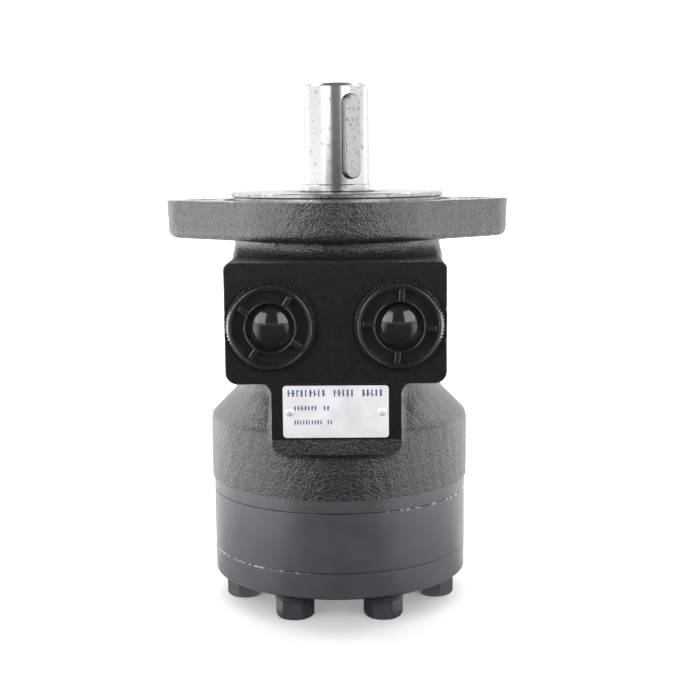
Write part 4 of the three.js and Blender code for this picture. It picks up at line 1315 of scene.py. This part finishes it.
# dark round the camera, white panels at both sides, white behind
def wmath(op, a, b=None):
    n = wt.nodes.new("ShaderNodeMath")
    n.operation = op
    for i, v in enumerate((a, b)):
        if v is None:
            continue
        if isinstance(v, (int, float)):
            n.inputs[i].default_value = v
        else:
            wt.links.new(v, n.inputs[i])
    return n.outputs[0]


def wramp(v, a, b, lo, hi):
    n = wt.nodes.new("ShaderNodeMapRange")
    n.interpolation_type = "SMOOTHSTEP"
    for k, x in (("From Min", a), ("From Max", b), ("To Min", lo), ("To Max", hi)):
        n.inputs[k].default_value = x
    wt.links.new(v, n.inputs["Value"])
    return n.outputs["Result"]


wx, wy, wz = sep.outputs
ax = wmath("ABSOLUTE", wx)
side = wmath("MULTIPLY", wramp(ax, 0.52, 0.70, 0.0, 1.0), wramp(wy, -0.95, -0.6, 0.35, 1.0))
side = wmath("MULTIPLY", side, wramp(wz, 0.62, 0.25, 0.08, 1.0))
side = wmath("MULTIPLY", side, wramp(wx, 0.0, 0.3, 1.0, 0.84))
behind = wramp(wy, 0.0, 0.5, 0.0, 1.0)
over = wmath("MULTIPLY", wramp(wz, 0.35, 0.8, 0.0, 0.22), wramp(wy, -0.8, -0.2, 0.2, 1.0))
eye = wmath("MULTIPLY", wramp(wz, -0.002, 0.010, 0.0, 0.70), wramp(wz, 0.07, 0.14, 1.0, 0.0))
side = wmath("MULTIPLY", side, wramp(wz, -0.03, 0.0, 2.05, 1.0))
level = wmath("ADD", wmath("ADD", wmath("MULTIPLY", side, 1.65), 0.07), wmath("ADD", over, eye))
level = wmath("MAXIMUM", level, wmath("MULTIPLY", behind, 1.05))
wt.links.new(level, bg.inputs["Strength"])
bg.inputs["Color"].default_value = (0.985, 0.978, 1.0, 1)

emitter("upper_left_box", (-0.44, -0.67, 0.19), (0, -0.05, -0.09), 0.44, 0.42, 2.60)
emitter("upper_right_box", (0.42, -0.68, 0.20), (0, -0.05, -0.09), 0.42, 0.42, 2.40)
fill = emitter("front_fill", (0.0, -1.1, 0.25), MID, 1.0, 0.8, 2.3)
fill.visible_glossy = False
emitter("back_wash", (0.0, 0.4, 0.8), (0, 1.4, -0.1), 2.2, 0.5, 30.0)

cam = bpy.data.cameras.new("camera")
cam.sensor_width = 36.0
cam.lens = 1310.24 / 700 * 36
cam.clip_start = 0.01
cam.clip_end = 20
co = bpy.data.objects.new("camera", cam)
bpy.context.scene.collection.objects.link(co)
PITCH, YAW, ROLL = 0.143399, -0.00911361, -0.00820863
turn = Matrix.Rotation(-YAW, 3, "Z")
fw, up, rt = Vector((0, math.cos(PITCH), -math.sin(PITCH))), Vector((0, math.sin(PITCH), math.cos(PITCH))), Vector((1, 0, 0))
r2 = math.cos(ROLL) * rt + math.sin(ROLL) * up
u2 = -math.sin(ROLL) * rt + math.cos(ROLL) * up
cols = [turn @ r2, turn @ u2, turn @ -fw]
rot = Matrix((cols[0], cols[1], cols[2])).transposed()
pos = turn @ Vector((4.58121 * 1e-3, -0.515232, 14.6092 * 1e-3)) + Vector((0, 0, ZD))
co.matrix_world = Matrix.Translation(pos) @ rot.to_4x4()
bpy.context.scene.camera = co
sc = bpy.context.scene
sc.view_settings.view_transform = "Standard"
sc.view_settings.look = "None"
